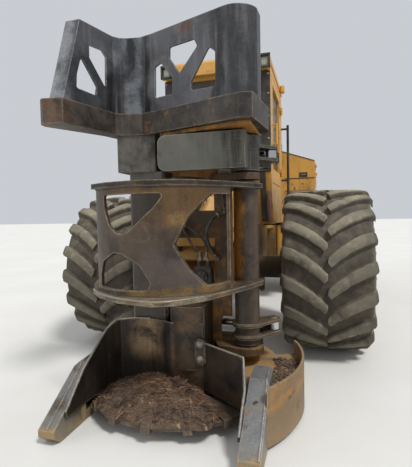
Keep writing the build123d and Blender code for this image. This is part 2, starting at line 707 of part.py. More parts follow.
# Rear bumper: the counterweight across the tail, with a slot for a tow bar and
# an upright bore for its pin
bumper_half = 980
bumper_z = (700, 1250)
bumper_thick = 120
tow_slot_half = 90
tow_slot_z = (900, 1040)
tow_bore_radius = 26
tow_bore_y = tail_y - 45
with BuildPart() as bumper:
    front, back = tail_y - bumper_thick, tail_y
    plate_z([(-bumper_half, front), (-bumper_half, back - 60), (80 - bumper_half, back),
             (bumper_half - 80, back),
             (bumper_half, back - 60), (bumper_half, front)], bumper_z[0], bumper_z[1] - bumper_z[0])
    block((-tow_slot_half, tow_slot_half), (tail_y - 95, tail_y + 1), tow_slot_z, Mode.SUBTRACT)
    round_bar((0, tow_bore_y, bumper_z[0] - 1), (0, tow_bore_y, bumper_z[1] + 1), tow_bore_radius,
              Mode.SUBTRACT)
bumper.part.label = "bumper"
export_step(bumper.part, "parts/bumper.step")

# Steps behind the left front wheel, with a handrail up to the door
step_x = (620, 900)
step_y = (front_axle_y + 900, front_axle_y + 1090)
with BuildPart() as access_steps:
    for z in (480, 750, 1020):
        block(step_x, step_y, (z, z + 30))
    for x in (step_x[0], step_x[1] - 25):
        block((x, x + 25), (step_y[0] + 30, step_y[1] - 30), (480, frame_top - 10))
    block((frame_half + frame_plate, step_x[1]), step_y, (frame_top - 40, frame_top - 10))
    block((frame_half + frame_plate, step_x[0] + 25), (step_y[0] + 40, step_y[1] - 40), (750, 780))
    # Handrail on the cab's back corner
    rail = cab_half + 90
    y = cab_back_y - 60
    round_bar((rail, y, 1440), (rail, y, 2650), 17)
    for z in (1900, 2600):
        round_bar((cab_half, y, z), (rail, y, z), 14)
access_steps.part.label = "access_steps"
export_step(access_steps.part, "parts/access_steps.step")

# Boom: two side plates tied by a box, from the towers down to the head
boom_outline = [
    (boom_pivot[0] + 95, boom_pivot[1] + 20), (boom_pivot[0] + 40, boom_pivot[1] - 100),
    (head_pivot[0] + 160, head_pivot[1] - 40), (head_pivot[0] + 40, head_pivot[1] - 95),
    (head_pivot[0] - 60, head_pivot[1] - 75), (head_pivot[0] - 95, head_pivot[1] + 10),
    (head_pivot[0] - 40, head_pivot[1] + 110), (lift_eye[0] - 20, lift_eye[1] + 60),
    (boom_pivot[0] - 170, boom_pivot[1] + 130), (boom_pivot[0] + 30, boom_pivot[1] + 95),
]
with BuildPart() as lift_boom:
    for x in both(boom_half, boom_plate):
        plate_x(boom_outline, x, boom_plate)
    # Box between the side plates: top sheet, bottom sheet and cross tubes
    up = (boom_pivot[0] - 60, boom_pivot[1] + 40)
    low = (head_pivot[0] + 110, head_pivot[1] + 150)
    way = Vector(0, low[0] - up[0], low[1] - up[1]).normalized()
    lift_n = Vector(0, way.Z, -way.Y)
    for offset_n, thick in ((55, 20), (-110, 20)):
        a = (up[0] + lift_n.Y * offset_n, up[1] + lift_n.Z * offset_n)
        b = (low[0] + lift_n.Y * offset_n, low[1] + lift_n.Z * offset_n)
        step_n = (lift_n.Y * thick, lift_n.Z * thick)
        plate_x([a, b, (b[0] + step_n[0], b[1] + step_n[1]), (a[0] + step_n[0], a[1] + step_n[1])],
                -boom_half, 2 * boom_half)
    # Pivot pin and bosses in the towers
    boss_end = frame_half - side_gap
    for side in (1, -1):
        round_bar((side * boom_half, *boom_pivot), (side * boss_end, *boom_pivot), boom_boss_radius)
    round_bar((-frame_half - 58, *boom_pivot), (frame_half + 58, *boom_pivot), boom_pin_radius)
    # Bores for the head's pin
    for side in (1, -1):
        round_bar((side * (boom_half - 20), *head_pivot),
                  (side * (boom_half + boom_plate + 20), *head_pivot), boom_boss_radius)
    round_bar((-400, *head_pivot), (400, *head_pivot), boom_pin_radius + fit_gap, Mode.SUBTRACT)
    # Clevises of the lift cylinders on a cross tube
    for side in (1, -1):
        x = side * lift_x
        root = [(lift_eye[0] + 30, lift_eye[1] + 130), (lift_eye[0] - 80, lift_eye[1] + 130),
                (lift_eye[0] - 80, lift_eye[1])]
        upright_ears(lift_eye, x, root)
        block(sorted((side * (boom_half + boom_plate), side * (lift_x + ear_out))),
              (lift_eye[0] - 80, lift_eye[0] + 30), (lift_eye[1] + 85, lift_eye[1] + 130))
    plate_x([(lift_eye[0] - 80, lift_eye[1] - 40), (lift_eye[0] + 30, lift_eye[1] - 40),
             (lift_eye[0] + 30, lift_eye[1] + 130),
             (lift_eye[0] - 80, lift_eye[1] + 130)], -boom_half - 1, 2 * boom_half + 2)
    # Clevis of the tilt cylinder, on the top sheet
    upright_ears(tilt_base, 0, [(tilt_base[0] + 61, tilt_base[1]), (boom_pivot[0], boom_pivot[1] + 60),
                                (boom_pivot[0] - 110, boom_pivot[1]),
                                (tilt_base[0] - 20, tilt_base[1] - 58)], True)
lift_boom.part.label = "lift_boom"
export_step(lift_boom.part, "parts/lift_boom.step")

# Cylinders that lift the boom, tilt the head and steer. Their lengths follow
# from how far the joints turn.
def eye_travel(base, eye, centre, angles):
    """The shortest and the longest distance from base to eye over the angles."""
    spans = [span(base, turned(eye, centre, angle)) for angle in angles]
    return min(spans), max(spans)


lift_shortest = eye_travel(lift_base, lift_eye, boom_pivot, (-lift_range[0], -lift_range[1]))[0]
tilt_shortest = eye_travel(tilt_base, tilt_eye, head_pivot, tilt_range)[0]
steer_shortest = eye_travel(steer_base, steer_eye, (0, hitch_y), steer_range)[0]
lift_bore = (58, 32)
tilt_bore = (60, 34)
steer_bore = (48, 26)
arm_bore = (50, 27)
across_x = (1, 0, 0)
across_z = (0, 0, 1)

with BuildPart() as lift_barrels:
    for side in (1, -1):
        barrel((side * lift_x, *lift_base), (side * lift_x, *lift_eye), across_x, lift_shortest, *lift_bore)
lift_barrels.part.label = "lift_barrels"
export_step(lift_barrels.part, "parts/lift_barrels.step")

with BuildPart() as lift_rods:
    for side in (1, -1):
        piston_rod((side * lift_x, *lift_base), (side * lift_x, *lift_eye), across_x, lift_shortest,
                   lift_bore[1])
lift_rods.part.label = "lift_rods"
export_step(lift_rods.part, "parts/lift_rods.step")

with BuildPart() as tilt_barrel:
    barrel((0, *tilt_base), (0, *tilt_eye), across_x, tilt_shortest, *tilt_bore)
tilt_barrel.part.label = "tilt_barrel"
export_step(tilt_barrel.part, "parts/tilt_barrel.step")

with BuildPart() as tilt_rod:
    piston_rod((0, *tilt_base), (0, *tilt_eye), across_x, tilt_shortest, tilt_bore[1])
tilt_rod.part.label = "tilt_rod"
export_step(tilt_rod.part, "parts/tilt_rod.step")

for name, side in (("left", 1), ("right", -1)):
    base = (side * steer_base[0], steer_base[1], steer_z)
    eye = (side * steer_eye[0], steer_eye[1], steer_z)
    with BuildPart() as steer_barrel:
        barrel(base, eye, across_z, steer_shortest, *steer_bore)
    steer_barrel.part.label = f"steer_barrel_{name}"
    export_step(steer_barrel.part, f"parts/steer_barrel_{name}.step")
    with BuildPart() as steer_rod:
        piston_rod(base, eye, across_z, steer_shortest, steer_bore[1])
    steer_rod.part.label = f"steer_rod_{name}"
    export_step(steer_rod.part, f"parts/steer_rod_{name}.step")

# Felling head: the saw's centre and the arms' upright axis, in (x, y)
saw_centre = (30, front_axle_y - 1540)
saw_radius = 665
tooth_reach = 35
saw_z = (88, 116)
tooth_z = (80, 136)
saw_teeth = 16
spindle_radius = 42
spindle_top = 262
arm_axis = (555, front_axle_y - 1450)
arm_pin_radius = 45
arm_tube_radius = 95
arm_hub_radius = 130
crown_z = 2080
crown_top_z = 2245
wing_top_z = 2820
wing_plate = 16
head_back_y = front_axle_y - 1375
head_plate = 25
head_ear_x = 300
head_ear_plate = 40
base_z = 290

head_y = front_axle_y


def ahead(points):
    """Places given as (x, distance ahead of the front axle), as (x, y)."""
    return [(x, head_y - d) for x, d in points]


# Head frame: back plate, carrier ears, box at its foot, arm pin and its brackets
harvest_z = 560
harvest_lug = (-350, front_axle_y - 1250)
harvest_eye = (735, front_axle_y - 1290)
gather_z = 1920
gather_lug = (-250, front_axle_y - 1240)
gather_eye = (725, front_axle_y - 1290)
harvest_tube_z = (455, 1700)
arm_z = (915, 1685)
gather_arm_z = (1780, 2040)
pin_bracket_z = (385, 440)
mid_bracket_z = (1715, 1765)
top_plate_z = (2055, crown_z)
back_window_x = (-45, 290)
back_windows = [(900, 1270), (1490, 1690)]
with BuildPart() as head_frame:
    block((-430, 330), (head_back_y - head_plate, head_back_y), (base_z, crown_z))
    block((329, 420), (head_back_y - head_plate, head_back_y), (640, mid_bracket_z[1]))
    # Windows in the back plate
    for z in back_windows:
        block(back_window_x, (head_back_y - head_plate - 1, head_back_y + 1), z, Mode.SUBTRACT)
    block((-430, 640), (head_back_y - head_plate, head_back_y + 190), (base_z, base_z + 160))
    # Brackets that hold the arms' pin
    for low, high, radius in ((*pin_bracket_z, 125), (*mid_bracket_z, 110)):
        plate_z([(272, head_back_y - head_plate), (330, head_back_y - head_plate - 120),
                 (arm_axis[0] - 20, arm_axis[1] - radius),
                 (arm_axis[0] + 60, arm_axis[1] + radius - 20), (329, head_back_y), (272, head_back_y)],
                low, high - low)
        round_bar((*arm_axis, low), (*arm_axis, high), radius)
    block((360, 640), (head_back_y - 150, head_back_y), (base_z + 100, pin_bracket_z[1]))
    plate_z(ahead([(-60, 1640), (540, 1830), (660, 1830), (660, 1330), (-60, 1330)]), top_plate_z[0],
            top_plate_z[1] - top_plate_z[0])
    round_bar((*arm_axis, pin_bracket_z[0]), (*arm_axis, crown_z), arm_pin_radius)
    # Carrier ears on the head pin, outside the boom's side plates
    for x in both(head_ear_x, head_ear_plate):
        plate_x([(head_back_y - 5, 620), (head_pivot[0] + 10, head_pivot[1] - 100),
                 (head_pivot[0] + 100, head_pivot[1] - 20),
                 (head_pivot[0] + 60, head_pivot[1] + 90), (head_back_y + 95, head_pivot[1] + 330),
                 (head_back_y + 80, 1720), (head_back_y - 5, 1760)], x, head_ear_plate)
    pin_end = head_ear_x + head_ear_plate + 18
    round_bar((-pin_end, *head_pivot), (pin_end, *head_pivot), boom_pin_radius)
    # Clevises of the tilt cylinder and of both arm cylinders
    upright_ears(tilt_eye, 0, [(tilt_eye[0], tilt_eye[1] + ear_radius),
                               (tilt_eye[0], tilt_eye[1] - ear_radius),
                               (head_back_y, tilt_eye[1] - 100), (head_back_y, tilt_eye[1] + 100)])
    for lug, z in ((harvest_lug, harvest_z), (gather_lug, gather_z)):
        level_ears(lug, z, straight_root(lug, head_back_y), True)
head_frame.part.label = "head_frame"
export_step(head_frame.part, "parts/head_frame.step")

# Mast: the trees' back rest under the crown
mast_neck_z = 1800
with BuildPart() as mast:
    back = 1400
    plate_z(ahead([(-420, 1640), (-358, 1650), (-320, 1635), (-205, 1615), (-125, 1590), (-110, back),
                   (-430, back)]),
            mast_neck_z, crown_z - mast_neck_z)
    plate_z(ahead([(-360, 1560), (-340, 1580), (-80, 1580), (-60, 1560), (-60, back), (-360, back)]),
            base_z, mast_neck_z - base_z)
mast.part.label = "mast"
export_step(mast.part, "parts/mast.step")

# Crown: the beam round the top and the tall wing plates that stand on it
with BuildPart() as crown_beam:
    plate_z(ahead([(-655, 2215), (-515, 2190), (-394, 1705), (-358, 1664), (-305, 1644), (-210, 1628),
                   (-108, 1656),
                   (600, 1915), (690, 1905), (738, 1440), (710, 1340), (440, 1330), (-430, 1400),
                   (-500, 1700),
                   (-700, 2130), (-690, 2185)]),
            crown_z, crown_top_z - crown_z)
crown_beam.part.label = "crown_beam"
export_step(crown_beam.part, "parts/crown_beam.step")

# Wings: the plate's line round the crown, with its left end cut to a slant
wing_corner = (-530, 2170)
wing_corner_top = 2010
wing_valley = (-410, 1700)
wing_right = ((-105, 1640), (500, 1865))
wing_return = 100
wing_lean = 40

# Cut-outs, each as (run along the wing's face, height)
left_cuts = [
    [(248, 2674), (373, 2680), (415, 2645), (407, 2403), (247, 2586)],
    [(171, 2570), (314, 2400), (300, 2334), (120, 2344), (128, 2439)],
]
right_cuts = [
    [(176, 2677), (403, 2674), (430, 2620), (266, 2470), (173, 2598)],
    [(28, 2568), (88, 2587), (200, 2452), (193, 2339), (22, 2341)],
    [(526, 2590), (579, 2545), (575, 2318), (367, 2332), (369, 2391)],
]
cut_corner = 15
with BuildPart() as wings:
    with BuildSketch(Plane.XY.offset(crown_top_z)) as line:
        with BuildLine() as run:
            left = Polyline(*ahead([wing_corner, wing_valley, (-370, 1650), (-310, 1628), (-212, 1612),
                                    *wing_right]))
            bend = TangentArc(left @ 1, (698, head_y - 1775), tangent=left % 1)
            Line(bend @ 1, (705, head_y - 1665))
        trace(line_width=wing_plate)
    extrude(line.sketch, amount=wing_top_z - crown_top_z)
    corner_y, corner_top_y = head_y - wing_corner[1], head_y - wing_corner_top
    plate_x([(corner_y, crown_top_z - 1), (corner_top_y, wing_top_z + 1), (corner_y - 60, wing_top_z + 1),
             (corner_y - 60, crown_top_z - 1)], -700, 400, Mode.SUBTRACT)
    for (start, end), cuts in (((wing_corner, wing_valley), left_cuts), (wing_right, right_cuts)):
        start, end = Vector(*ahead([start])[0]), Vector(*ahead([end])[0])
        way = (end - start).normalized()
        face = Plane(origin=start, x_dir=way, z_dir=way.cross(Vector(0, 0, 1)))
        for outline in cuts:
            with BuildSketch(face) as hole:
                with BuildLine():
                    Polyline(*outline, close=True)
                make_face()
                fillet(hole.vertices(), cut_corner)
            extrude(hole.sketch, amount=120, both=True, mode=Mode.SUBTRACT)
    # The plate turns outwards along its slanted end
    slant = Vector(0, corner_top_y - corner_y, wing_top_z - crown_top_z)
    slant_face = Plane(origin=(wing_corner[0], corner_y, crown_top_z), x_dir=(-1, 0, 0),
                       z_dir=Vector(-1, 0, 0).cross(slant))
    with BuildSketch(slant_face) as turned_end:
        with BuildLine():
            Polyline((0, 0), (wing_return, 0), (wing_return - wing_lean, slant.length),
                     (-wing_lean, slant.length), close=True)
        make_face()
    extrude(turned_end.sketch, amount=wing_plate)
    block((-700, -500), (corner_y - 50, corner_y + 50), (crown_top_z - 50, crown_top_z), Mode.SUBTRACT)
wings.part.label = "wings"
export_step(wings.part, "parts/wings.step")

# Grab arm: two flanges joined by a curved web with cut-outs, on a tube that
# turns on the arms' pin, with a pair of lever plates at its foot
web_centre = (0, front_axle_y - 1680)
web_radius = 500
web_plate = 30
web_angles = (217, 349)
inner_wall_plate = 24
flange_low = (arm_z[0], arm_z[0] + 32)
flange_high = (arm_z[1] - 36, arm_z[1])
web_cuts = [
    [(-285, 1600), (172, 1600), (100, 1510), (-70, 1360), (-120, 1345), (-170, 1352), (-235, 1404),
     (-275, 1500)],
    [(-352, 975), (-352, 1060), (-310, 1160), (-194, 1222), (-125, 1216), (2, 1149), (72, 1035), (50, 985)],
    [(218, 1270), (300, 1450), (420, 1595), (640, 1600), (640, 990), (385, 1000), (300, 1110)],
]


def hub_outline(points, hub, radius):
    """A flange's outline through its points, with a round hub, as a face."""
    with BuildSketch(Plane.XY) as flange:
        with BuildLine():
            Polyline(*points, close=True)
        make_face()
        with Locations(hub):
            Circle(radius)
    return flange.sketch


def lever(eye, hub, z, hub_size):
    """Two lever plates above and below a rod's eye, from a hub."""
    way = Vector(eye[0] - hub[0], eye[1] - hub[1], 0)
    side = way.cross(Vector(0, 0, 1)).normalized()
    for low in (z - ear_out, z + ear_gap / 2):
        with BuildSketch(Plane.XY.offset(low)) as plate:
            with Locations(eye):
                Circle(ear_radius)
            with Locations(hub):
                Circle(hub_size)
            with BuildLine():
                Polyline((hub[0] + side.X * hub_size, hub[1] + side.Y * hub_size),
                         (eye[0] + side.X * ear_radius, eye[1] + side.Y * ear_radius),
                         (eye[0] - side.X * ear_radius, eye[1] - side.Y * ear_radius),
                         (hub[0] - side.X * hub_size, hub[1] - side.Y * hub_size), close=True)
            make_face()
        extrude(plate.sketch, amount=ear_plate)
    ear_pin((*eye, z), (0, 0, 1), False)


# Flanges: the outer edge, then the inner edge that follows the web
low_edge = ahead([(-455, 2000), (-330, 2130), (-120, 2260), (130, 2320), (270, 2255), (400, 2110),
                  (510, 1890),
                  (620, 1640), (680, 1440), (555, 1330), (440, 1500), (478, 1740)])
high_edge = ahead([(-425, 2030), (-250, 2140), (0, 2205), (190, 2170), (350, 2060), (480, 1880),
                   (600, 1640),
                   (680, 1440), (555, 1330), (440, 1500), (478, 1740)])
inner_radius = web_radius - web_plate / 2
with BuildPart() as grab_arm:
    for edge, (low, high) in ((low_edge, flange_low), (high_edge, flange_high)):
        with BuildSketch(Plane.XY.offset(low)) as flange:
            add(hub_outline(edge, arm_axis, arm_hub_radius))
            # The bight that the trees stand in
            with Locations(web_centre):
                Circle(inner_radius, mode=Mode.SUBTRACT)
            with Locations(arm_axis):
                Circle(arm_hub_radius)
        extrude(flange.sketch, amount=high - low)
    with BuildSketch(Plane.XY.offset(flange_low[1] - 1)) as curve:
        with BuildLine():
            CenterArc(web_centre, web_radius, web_angles[0], web_angles[1] - web_angles[0])
        trace(line_width=web_plate)
    extrude(curve.sketch, amount=flange_high[0] - flange_low[1] + 2)
    for outline in web_cuts:
        with BuildSketch(Plane.XZ.offset(-front_axle_y + 1600)) as hole:
            with BuildLine():
                Polyline(*outline, close=True)
            make_face()
            fillet(hole.vertices(), 18)
        extrude(hole.sketch, amount=700, mode=Mode.SUBTRACT)
    # Wall between the flanges, from the web's end to the tube
    with BuildSketch(Plane.XY.offset(flange_low[1] - 1)) as inner_wall:
        with BuildLine():
            Polyline(*ahead([(488, 1768), (452, 1508)]))
        trace(line_width=inner_wall_plate)
    extrude(inner_wall.sketch, amount=flange_high[0] - flange_low[1] + 2)
    round_bar((*arm_axis, harvest_tube_z[0]), (*arm_axis, harvest_tube_z[1]), arm_tube_radius)
    lever(harvest_eye, arm_axis, harvest_z, 120)
    round_bar((*arm_axis, harvest_tube_z[0] - 1), (*arm_axis, harvest_tube_z[1] + 1),
              arm_pin_radius + fit_gap, Mode.SUBTRACT)
grab_arm.part.label = "grab_arm"
export_step(grab_arm.part, "parts/grab_arm.step")

# Gathering arm above it: a plate-faced box on its own hub
gather_x = (-40, 610)
gather_y = (front_axle_y - 1750, front_axle_y - 1672)
with BuildPart() as gather_arm:
    block(gather_x, gather_y, gather_arm_z)
    ends = gather_arm.edges().filter_by(Axis.Y).group_by(Axis.X)[0]
    fillet(ends, 60)
    block((450, 610), (gather_y[1] - 5, arm_axis[1]), (gather_arm_z[0] + 15, gather_arm_z[1] - 15))
    round_bar((*arm_axis, gather_arm_z[0]), (*arm_axis, gather_arm_z[1]), 110)
    lever(gather_eye, arm_axis, gather_z, 108)
    round_bar((*arm_axis, gather_arm_z[0] - 1), (*arm_axis, gather_arm_z[1] + 1), arm_pin_radius + fit_gap,
              Mode.SUBTRACT)
gather_arm.part.label = "gather_arm"
export_step(gather_arm.part, "parts/gather_arm.step")

harvest_shortest = eye_travel(harvest_lug, harvest_eye, arm_axis, harvest_range)[0]
gather_shortest = eye_travel(gather_lug, gather_eye, arm_axis, gather_range)[0]
with BuildPart() as grab_barrel:
    barrel((*harvest_lug, harvest_z), (*harvest_eye, harvest_z), across_z, harvest_shortest, *arm_bore)
grab_barrel.part.label = "grab_barrel"
export_step(grab_barrel.part, "parts/grab_barrel.step")
with BuildPart() as grab_rod:
    piston_rod((*harvest_lug, harvest_z), (*harvest_eye, harvest_z), across_z, harvest_shortest,
               arm_bore[1])
grab_rod.part.label = "grab_rod"
export_step(grab_rod.part, "parts/grab_rod.step")
with BuildPart() as gather_barrel:
    barrel((*gather_lug, gather_z), (*gather_eye, gather_z), across_z, gather_shortest, *arm_bore)
gather_barrel.part.label = "gather_barrel"
export_step(gather_barrel.part, "parts/gather_barrel.step")
with BuildPart() as gather_rod:
    piston_rod((*gather_lug, gather_z), (*gather_eye, gather_z), across_z, gather_shortest, arm_bore[1])
gather_rod.part.label = "gather_rod"
export_step(gather_rod.part, "parts/gather_rod.step")

# Saw housing: a skirt and a deck over the disc, open to the front between the
# horns, with a wide bowl on the left side
housing_radius = 785
bowl_radius = 955
bowl_angles = (-46, 24)
bowl_rim_z = 400
skirt_z = (30, base_z)
skirt_wall = 16
deck_thick = 20
chamber_radius = 745
chamber_top = 268
throat_wall = 18
throat_low = 146
throat_line = ahead([(-513, 2290), (-512, 2080), (-482, 1800), (-430, 1668), (-335, 1608), (-190, 1598),
                     (-75, 1628), (5, 1672),
                     (255, 1672), (605, 1915), (642, 2080), (643, 2290)])
throat_mouth = ahead([(680, 2500), (-560, 2500)])
horn_y = (head_y - front_reach, head_y - 1760)
horn_x = [(-640, -524), (654, 785)]


def sector(radius, angles):
    """A pie slice about the saw's centre, from one angle to another."""
    a, b = radians(angles[0]), radians(angles[1])
    far = radius * 1.3
    with BuildSketch(Plane.XY) as slice_face:
        with Locations(saw_centre):
            Circle(radius)
        with BuildLine():
            Polyline(saw_centre, (saw_centre[0] + far * cos(a), saw_centre[1] + far * sin(a)),
                     (saw_centre[0] + far, saw_centre[1]),
                     (saw_centre[0] + far * cos(b), saw_centre[1] + far * sin(b)), close=True)
        make_face(mode=Mode.INTERSECT)
    return slice_face.sketch


with BuildPart() as saw_housing:
    with BuildSketch(Plane.XY.offset(skirt_z[0])) as plan:
        with Locations(saw_centre):
            Circle(housing_radius)
        add(sector(bowl_radius, bowl_angles))
    extrude(plan.sketch, amount=skirt_z[1] - skirt_z[0])
    # Raised rim of the bowl
    with BuildSketch(Plane.XY.offset(skirt_z[1] - 1)) as rim_band:
        add(sector(bowl_radius, bowl_angles))
        with Locations(saw_centre):
            Circle(bowl_radius - skirt_wall, mode=Mode.SUBTRACT)
    extrude(rim_band.sketch, amount=bowl_rim_z - skirt_z[1] + 1)
    # The saw's chamber, and the hollow under the bowl
    with BuildSketch(Plane.XY) as chamber:
        with Locations(saw_centre):
            Circle(chamber_radius)
    extrude(chamber.sketch, amount=chamber_top, mode=Mode.SUBTRACT)
    with BuildSketch(Plane.XY) as hollow:
        add(sector(bowl_radius - skirt_wall, (bowl_angles[0] + 1.5, bowl_angles[1] - 1.5)))
        with Locations(saw_centre):
            Circle(housing_radius - 10, mode=Mode.SUBTRACT)
    extrude(hollow.sketch, amount=skirt_z[1] - deck_thick, mode=Mode.SUBTRACT)
    # The throat, with the room that its walls and the horns take
    plate_z(throat_line + throat_mouth, 0, bowl_rim_z + 1, Mode.SUBTRACT)
    with BuildSketch() as walls:
        with BuildLine():
            Polyline(*throat_line)
        trace(line_width=throat_wall + 2 * fit_gap)
    extrude(walls.sketch, amount=bowl_rim_z, mode=Mode.SUBTRACT)
    for low, high in horn_x:
        block((low - fit_gap, high + fit_gap), (horn_y[0] - 1, horn_y[1] + fit_gap), (0, bowl_rim_z + 1),
              Mode.SUBTRACT)
    # Spindle housing under the deck
    round_bar((*saw_centre, 146), (*saw_centre, base_z - 2), 115)
    round_bar((*saw_centre, 140), (*saw_centre, spindle_top + 4), spindle_radius + fit_gap, Mode.SUBTRACT)
saw_housing.part.label = "saw_housing"
export_step(saw_housing.part, "parts/saw_housing.step")

# Throat: the walls that guide a stem's butt, and the post in their middle
with BuildPart() as throat_walls:
    with BuildSketch(Plane.XY.offset(throat_low)) as skin:
        with BuildLine():
            Polyline(*throat_line)
        trace(line_width=throat_wall)
    extrude(skin.sketch, amount=640 - throat_low)
    # Its top falls away towards both horns
    plate_x([(head_y - 1700, 641), (head_y - 1760, 620), (head_y - 2060, 400), (head_y - 2291, 180),
             (head_y - 2291, 641)],
            -600, 500, Mode.SUBTRACT)
    plate_x([(head_y - 1600, 641), (head_y - 1600, 505), (head_y - 1900, 505), (head_y - 2154, 300),
             (head_y - 2291, 170),
             (head_y - 2291, 641)], 262, 440, Mode.SUBTRACT)
    # Middle post with a rounded front
    with BuildSketch(Plane.XY.offset(base_z + fit_gap)) as post:
        with BuildLine():
            Polyline(*ahead([(0, 1660), (0, 1401), (262, 1401), (262, 1660)]))
            ThreePointArc((262, head_y - 1660), (131, head_y - 1705), (0, head_y - 1660))
        make_face()
    extrude(post.sketch, amount=770 - base_z)
throat_walls.part.label = "throat_walls"
export_step(throat_walls.part, "parts/throat_walls.step")

# Horns: the two prongs at the throat's mouth, slotted for the disc
horn_z = 10
with BuildPart() as horns:
    for low, high in horn_x:
        plate_x([(horn_y[1], horn_z), (horn_y[0] + 60, horn_z), (horn_y[0], horn_z + 50),
                 (horn_y[0], horn_z + 95),
                 (head_y - 1960, bowl_rim_z - 10), (horn_y[1], bowl_rim_z)], low, high - low)
        # Blunted outer edge
        outer = horns.faces().filter_by(Axis.X).group_by(Axis.X)[0 if low < 0 else -1].edges()
        chamfer(outer.filter_by(Plane.YZ).group_by(Axis.Z)[-1], 20)
    with BuildSketch(Plane.XY.offset(60)) as slot:
        with Locations(saw_centre):
            Circle(chamber_radius)
    extrude(slot.sketch, amount=chamber_top - 108, mode=Mode.SUBTRACT)
horns.part.label = "horns"
export_step(horns.part, "parts/horns.step")

# Saw: a toothed disc on a spindle that turns in the deck
with BuildPart() as saw_disc:
    round_bar((*saw_centre, saw_z[0]), (*saw_centre, saw_z[1]), saw_radius)
    for i in range(saw_teeth):
        angle = i * 360 / saw_teeth
        centre = Vector(*saw_centre, 0) + Vector(saw_radius - 15, 0, 0).rotate(Axis.Z, angle)
        with Locations(Location((centre.X, centre.Y, (tooth_z[0] + tooth_z[1]) / 2), (0, 0, angle))):
            Box(2 * (tooth_reach + 15), 60, tooth_z[1] - tooth_z[0],
                align=(Align.CENTER, Align.CENTER, Align.CENTER))
    round_bar((*saw_centre, saw_z[1]), (*saw_centre, 140), 110)
    round_bar((*saw_centre, 139), (*saw_centre, spindle_top), spindle_radius)
saw_disc.part.label = "saw_disc"
export_step(saw_disc.part, "parts/saw_disc.step")

# The saw's hydraulic motor, on the deck behind the head
motor = (saw_centre[0], head_y - 1010)
with BuildPart() as saw_motor:
    round_bar((*motor, base_z), (*motor, base_z + 40), 130)
    round_bar((*motor, base_z + 39), (*motor, base_z + 300), 90)
saw_motor.part.label = "saw_motor"
export_step(saw_motor.part, "parts/saw_motor.step")
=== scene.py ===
import math
import random

import bmesh
import bpy
from mathutils import Matrix, Vector, noise


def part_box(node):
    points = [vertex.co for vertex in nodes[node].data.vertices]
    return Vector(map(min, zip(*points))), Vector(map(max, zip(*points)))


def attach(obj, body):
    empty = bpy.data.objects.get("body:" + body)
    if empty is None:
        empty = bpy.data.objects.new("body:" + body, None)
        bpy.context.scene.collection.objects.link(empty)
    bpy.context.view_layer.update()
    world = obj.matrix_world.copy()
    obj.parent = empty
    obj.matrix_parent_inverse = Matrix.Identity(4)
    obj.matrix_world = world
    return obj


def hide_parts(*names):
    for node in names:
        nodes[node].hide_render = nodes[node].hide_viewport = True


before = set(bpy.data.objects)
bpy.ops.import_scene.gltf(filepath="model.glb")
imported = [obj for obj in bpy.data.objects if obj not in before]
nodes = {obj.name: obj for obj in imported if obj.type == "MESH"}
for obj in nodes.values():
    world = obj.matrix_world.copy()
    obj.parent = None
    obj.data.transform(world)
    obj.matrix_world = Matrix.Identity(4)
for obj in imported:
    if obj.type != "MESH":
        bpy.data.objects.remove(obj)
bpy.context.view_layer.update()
scene = bpy.context.scene

# Places of the CAD that the pieces here are set against, in metres
AXLE_FRONT = -1.075
AXLE_REAR = 2.125
AXLE_Z = 0.85
TRACK = 2.34
HITCH = 0.525
ARM_AXIS = (0.555, AXLE_FRONT - 1.45)
SAW = (0.03, AXLE_FRONT - 1.54)
DECK_Z = 0.29
FORWARD = (0, -1, 0)
CORNERS = ((-1, -1), (1, -1), (1, 1), (-1, 1))


def at(x, ahead, z):
    """A point given by how far it lies ahead of the front axle."""
    return Vector((x, AXLE_FRONT - ahead, z))


def along_x(side, length):
    """A step of some length to the machine's left (side 1) or right (side -1)."""
    return Vector((side * length, 0, 0))


def turns(count, first=0.0):
    """Angles that share out a full turn."""
    return [first + 2 * math.pi * k / count for k in range(count)]


# Materials
def srgb(r, g, b):
    """A colour given from 0 to 255, as the shader's linear values."""
    def lin(c):
        c /= 255
        return c / 12.92 if c <= 0.04045 else ((c + 0.055) / 1.055) ** 2.4
    return (lin(r), lin(g), lin(b), 1)


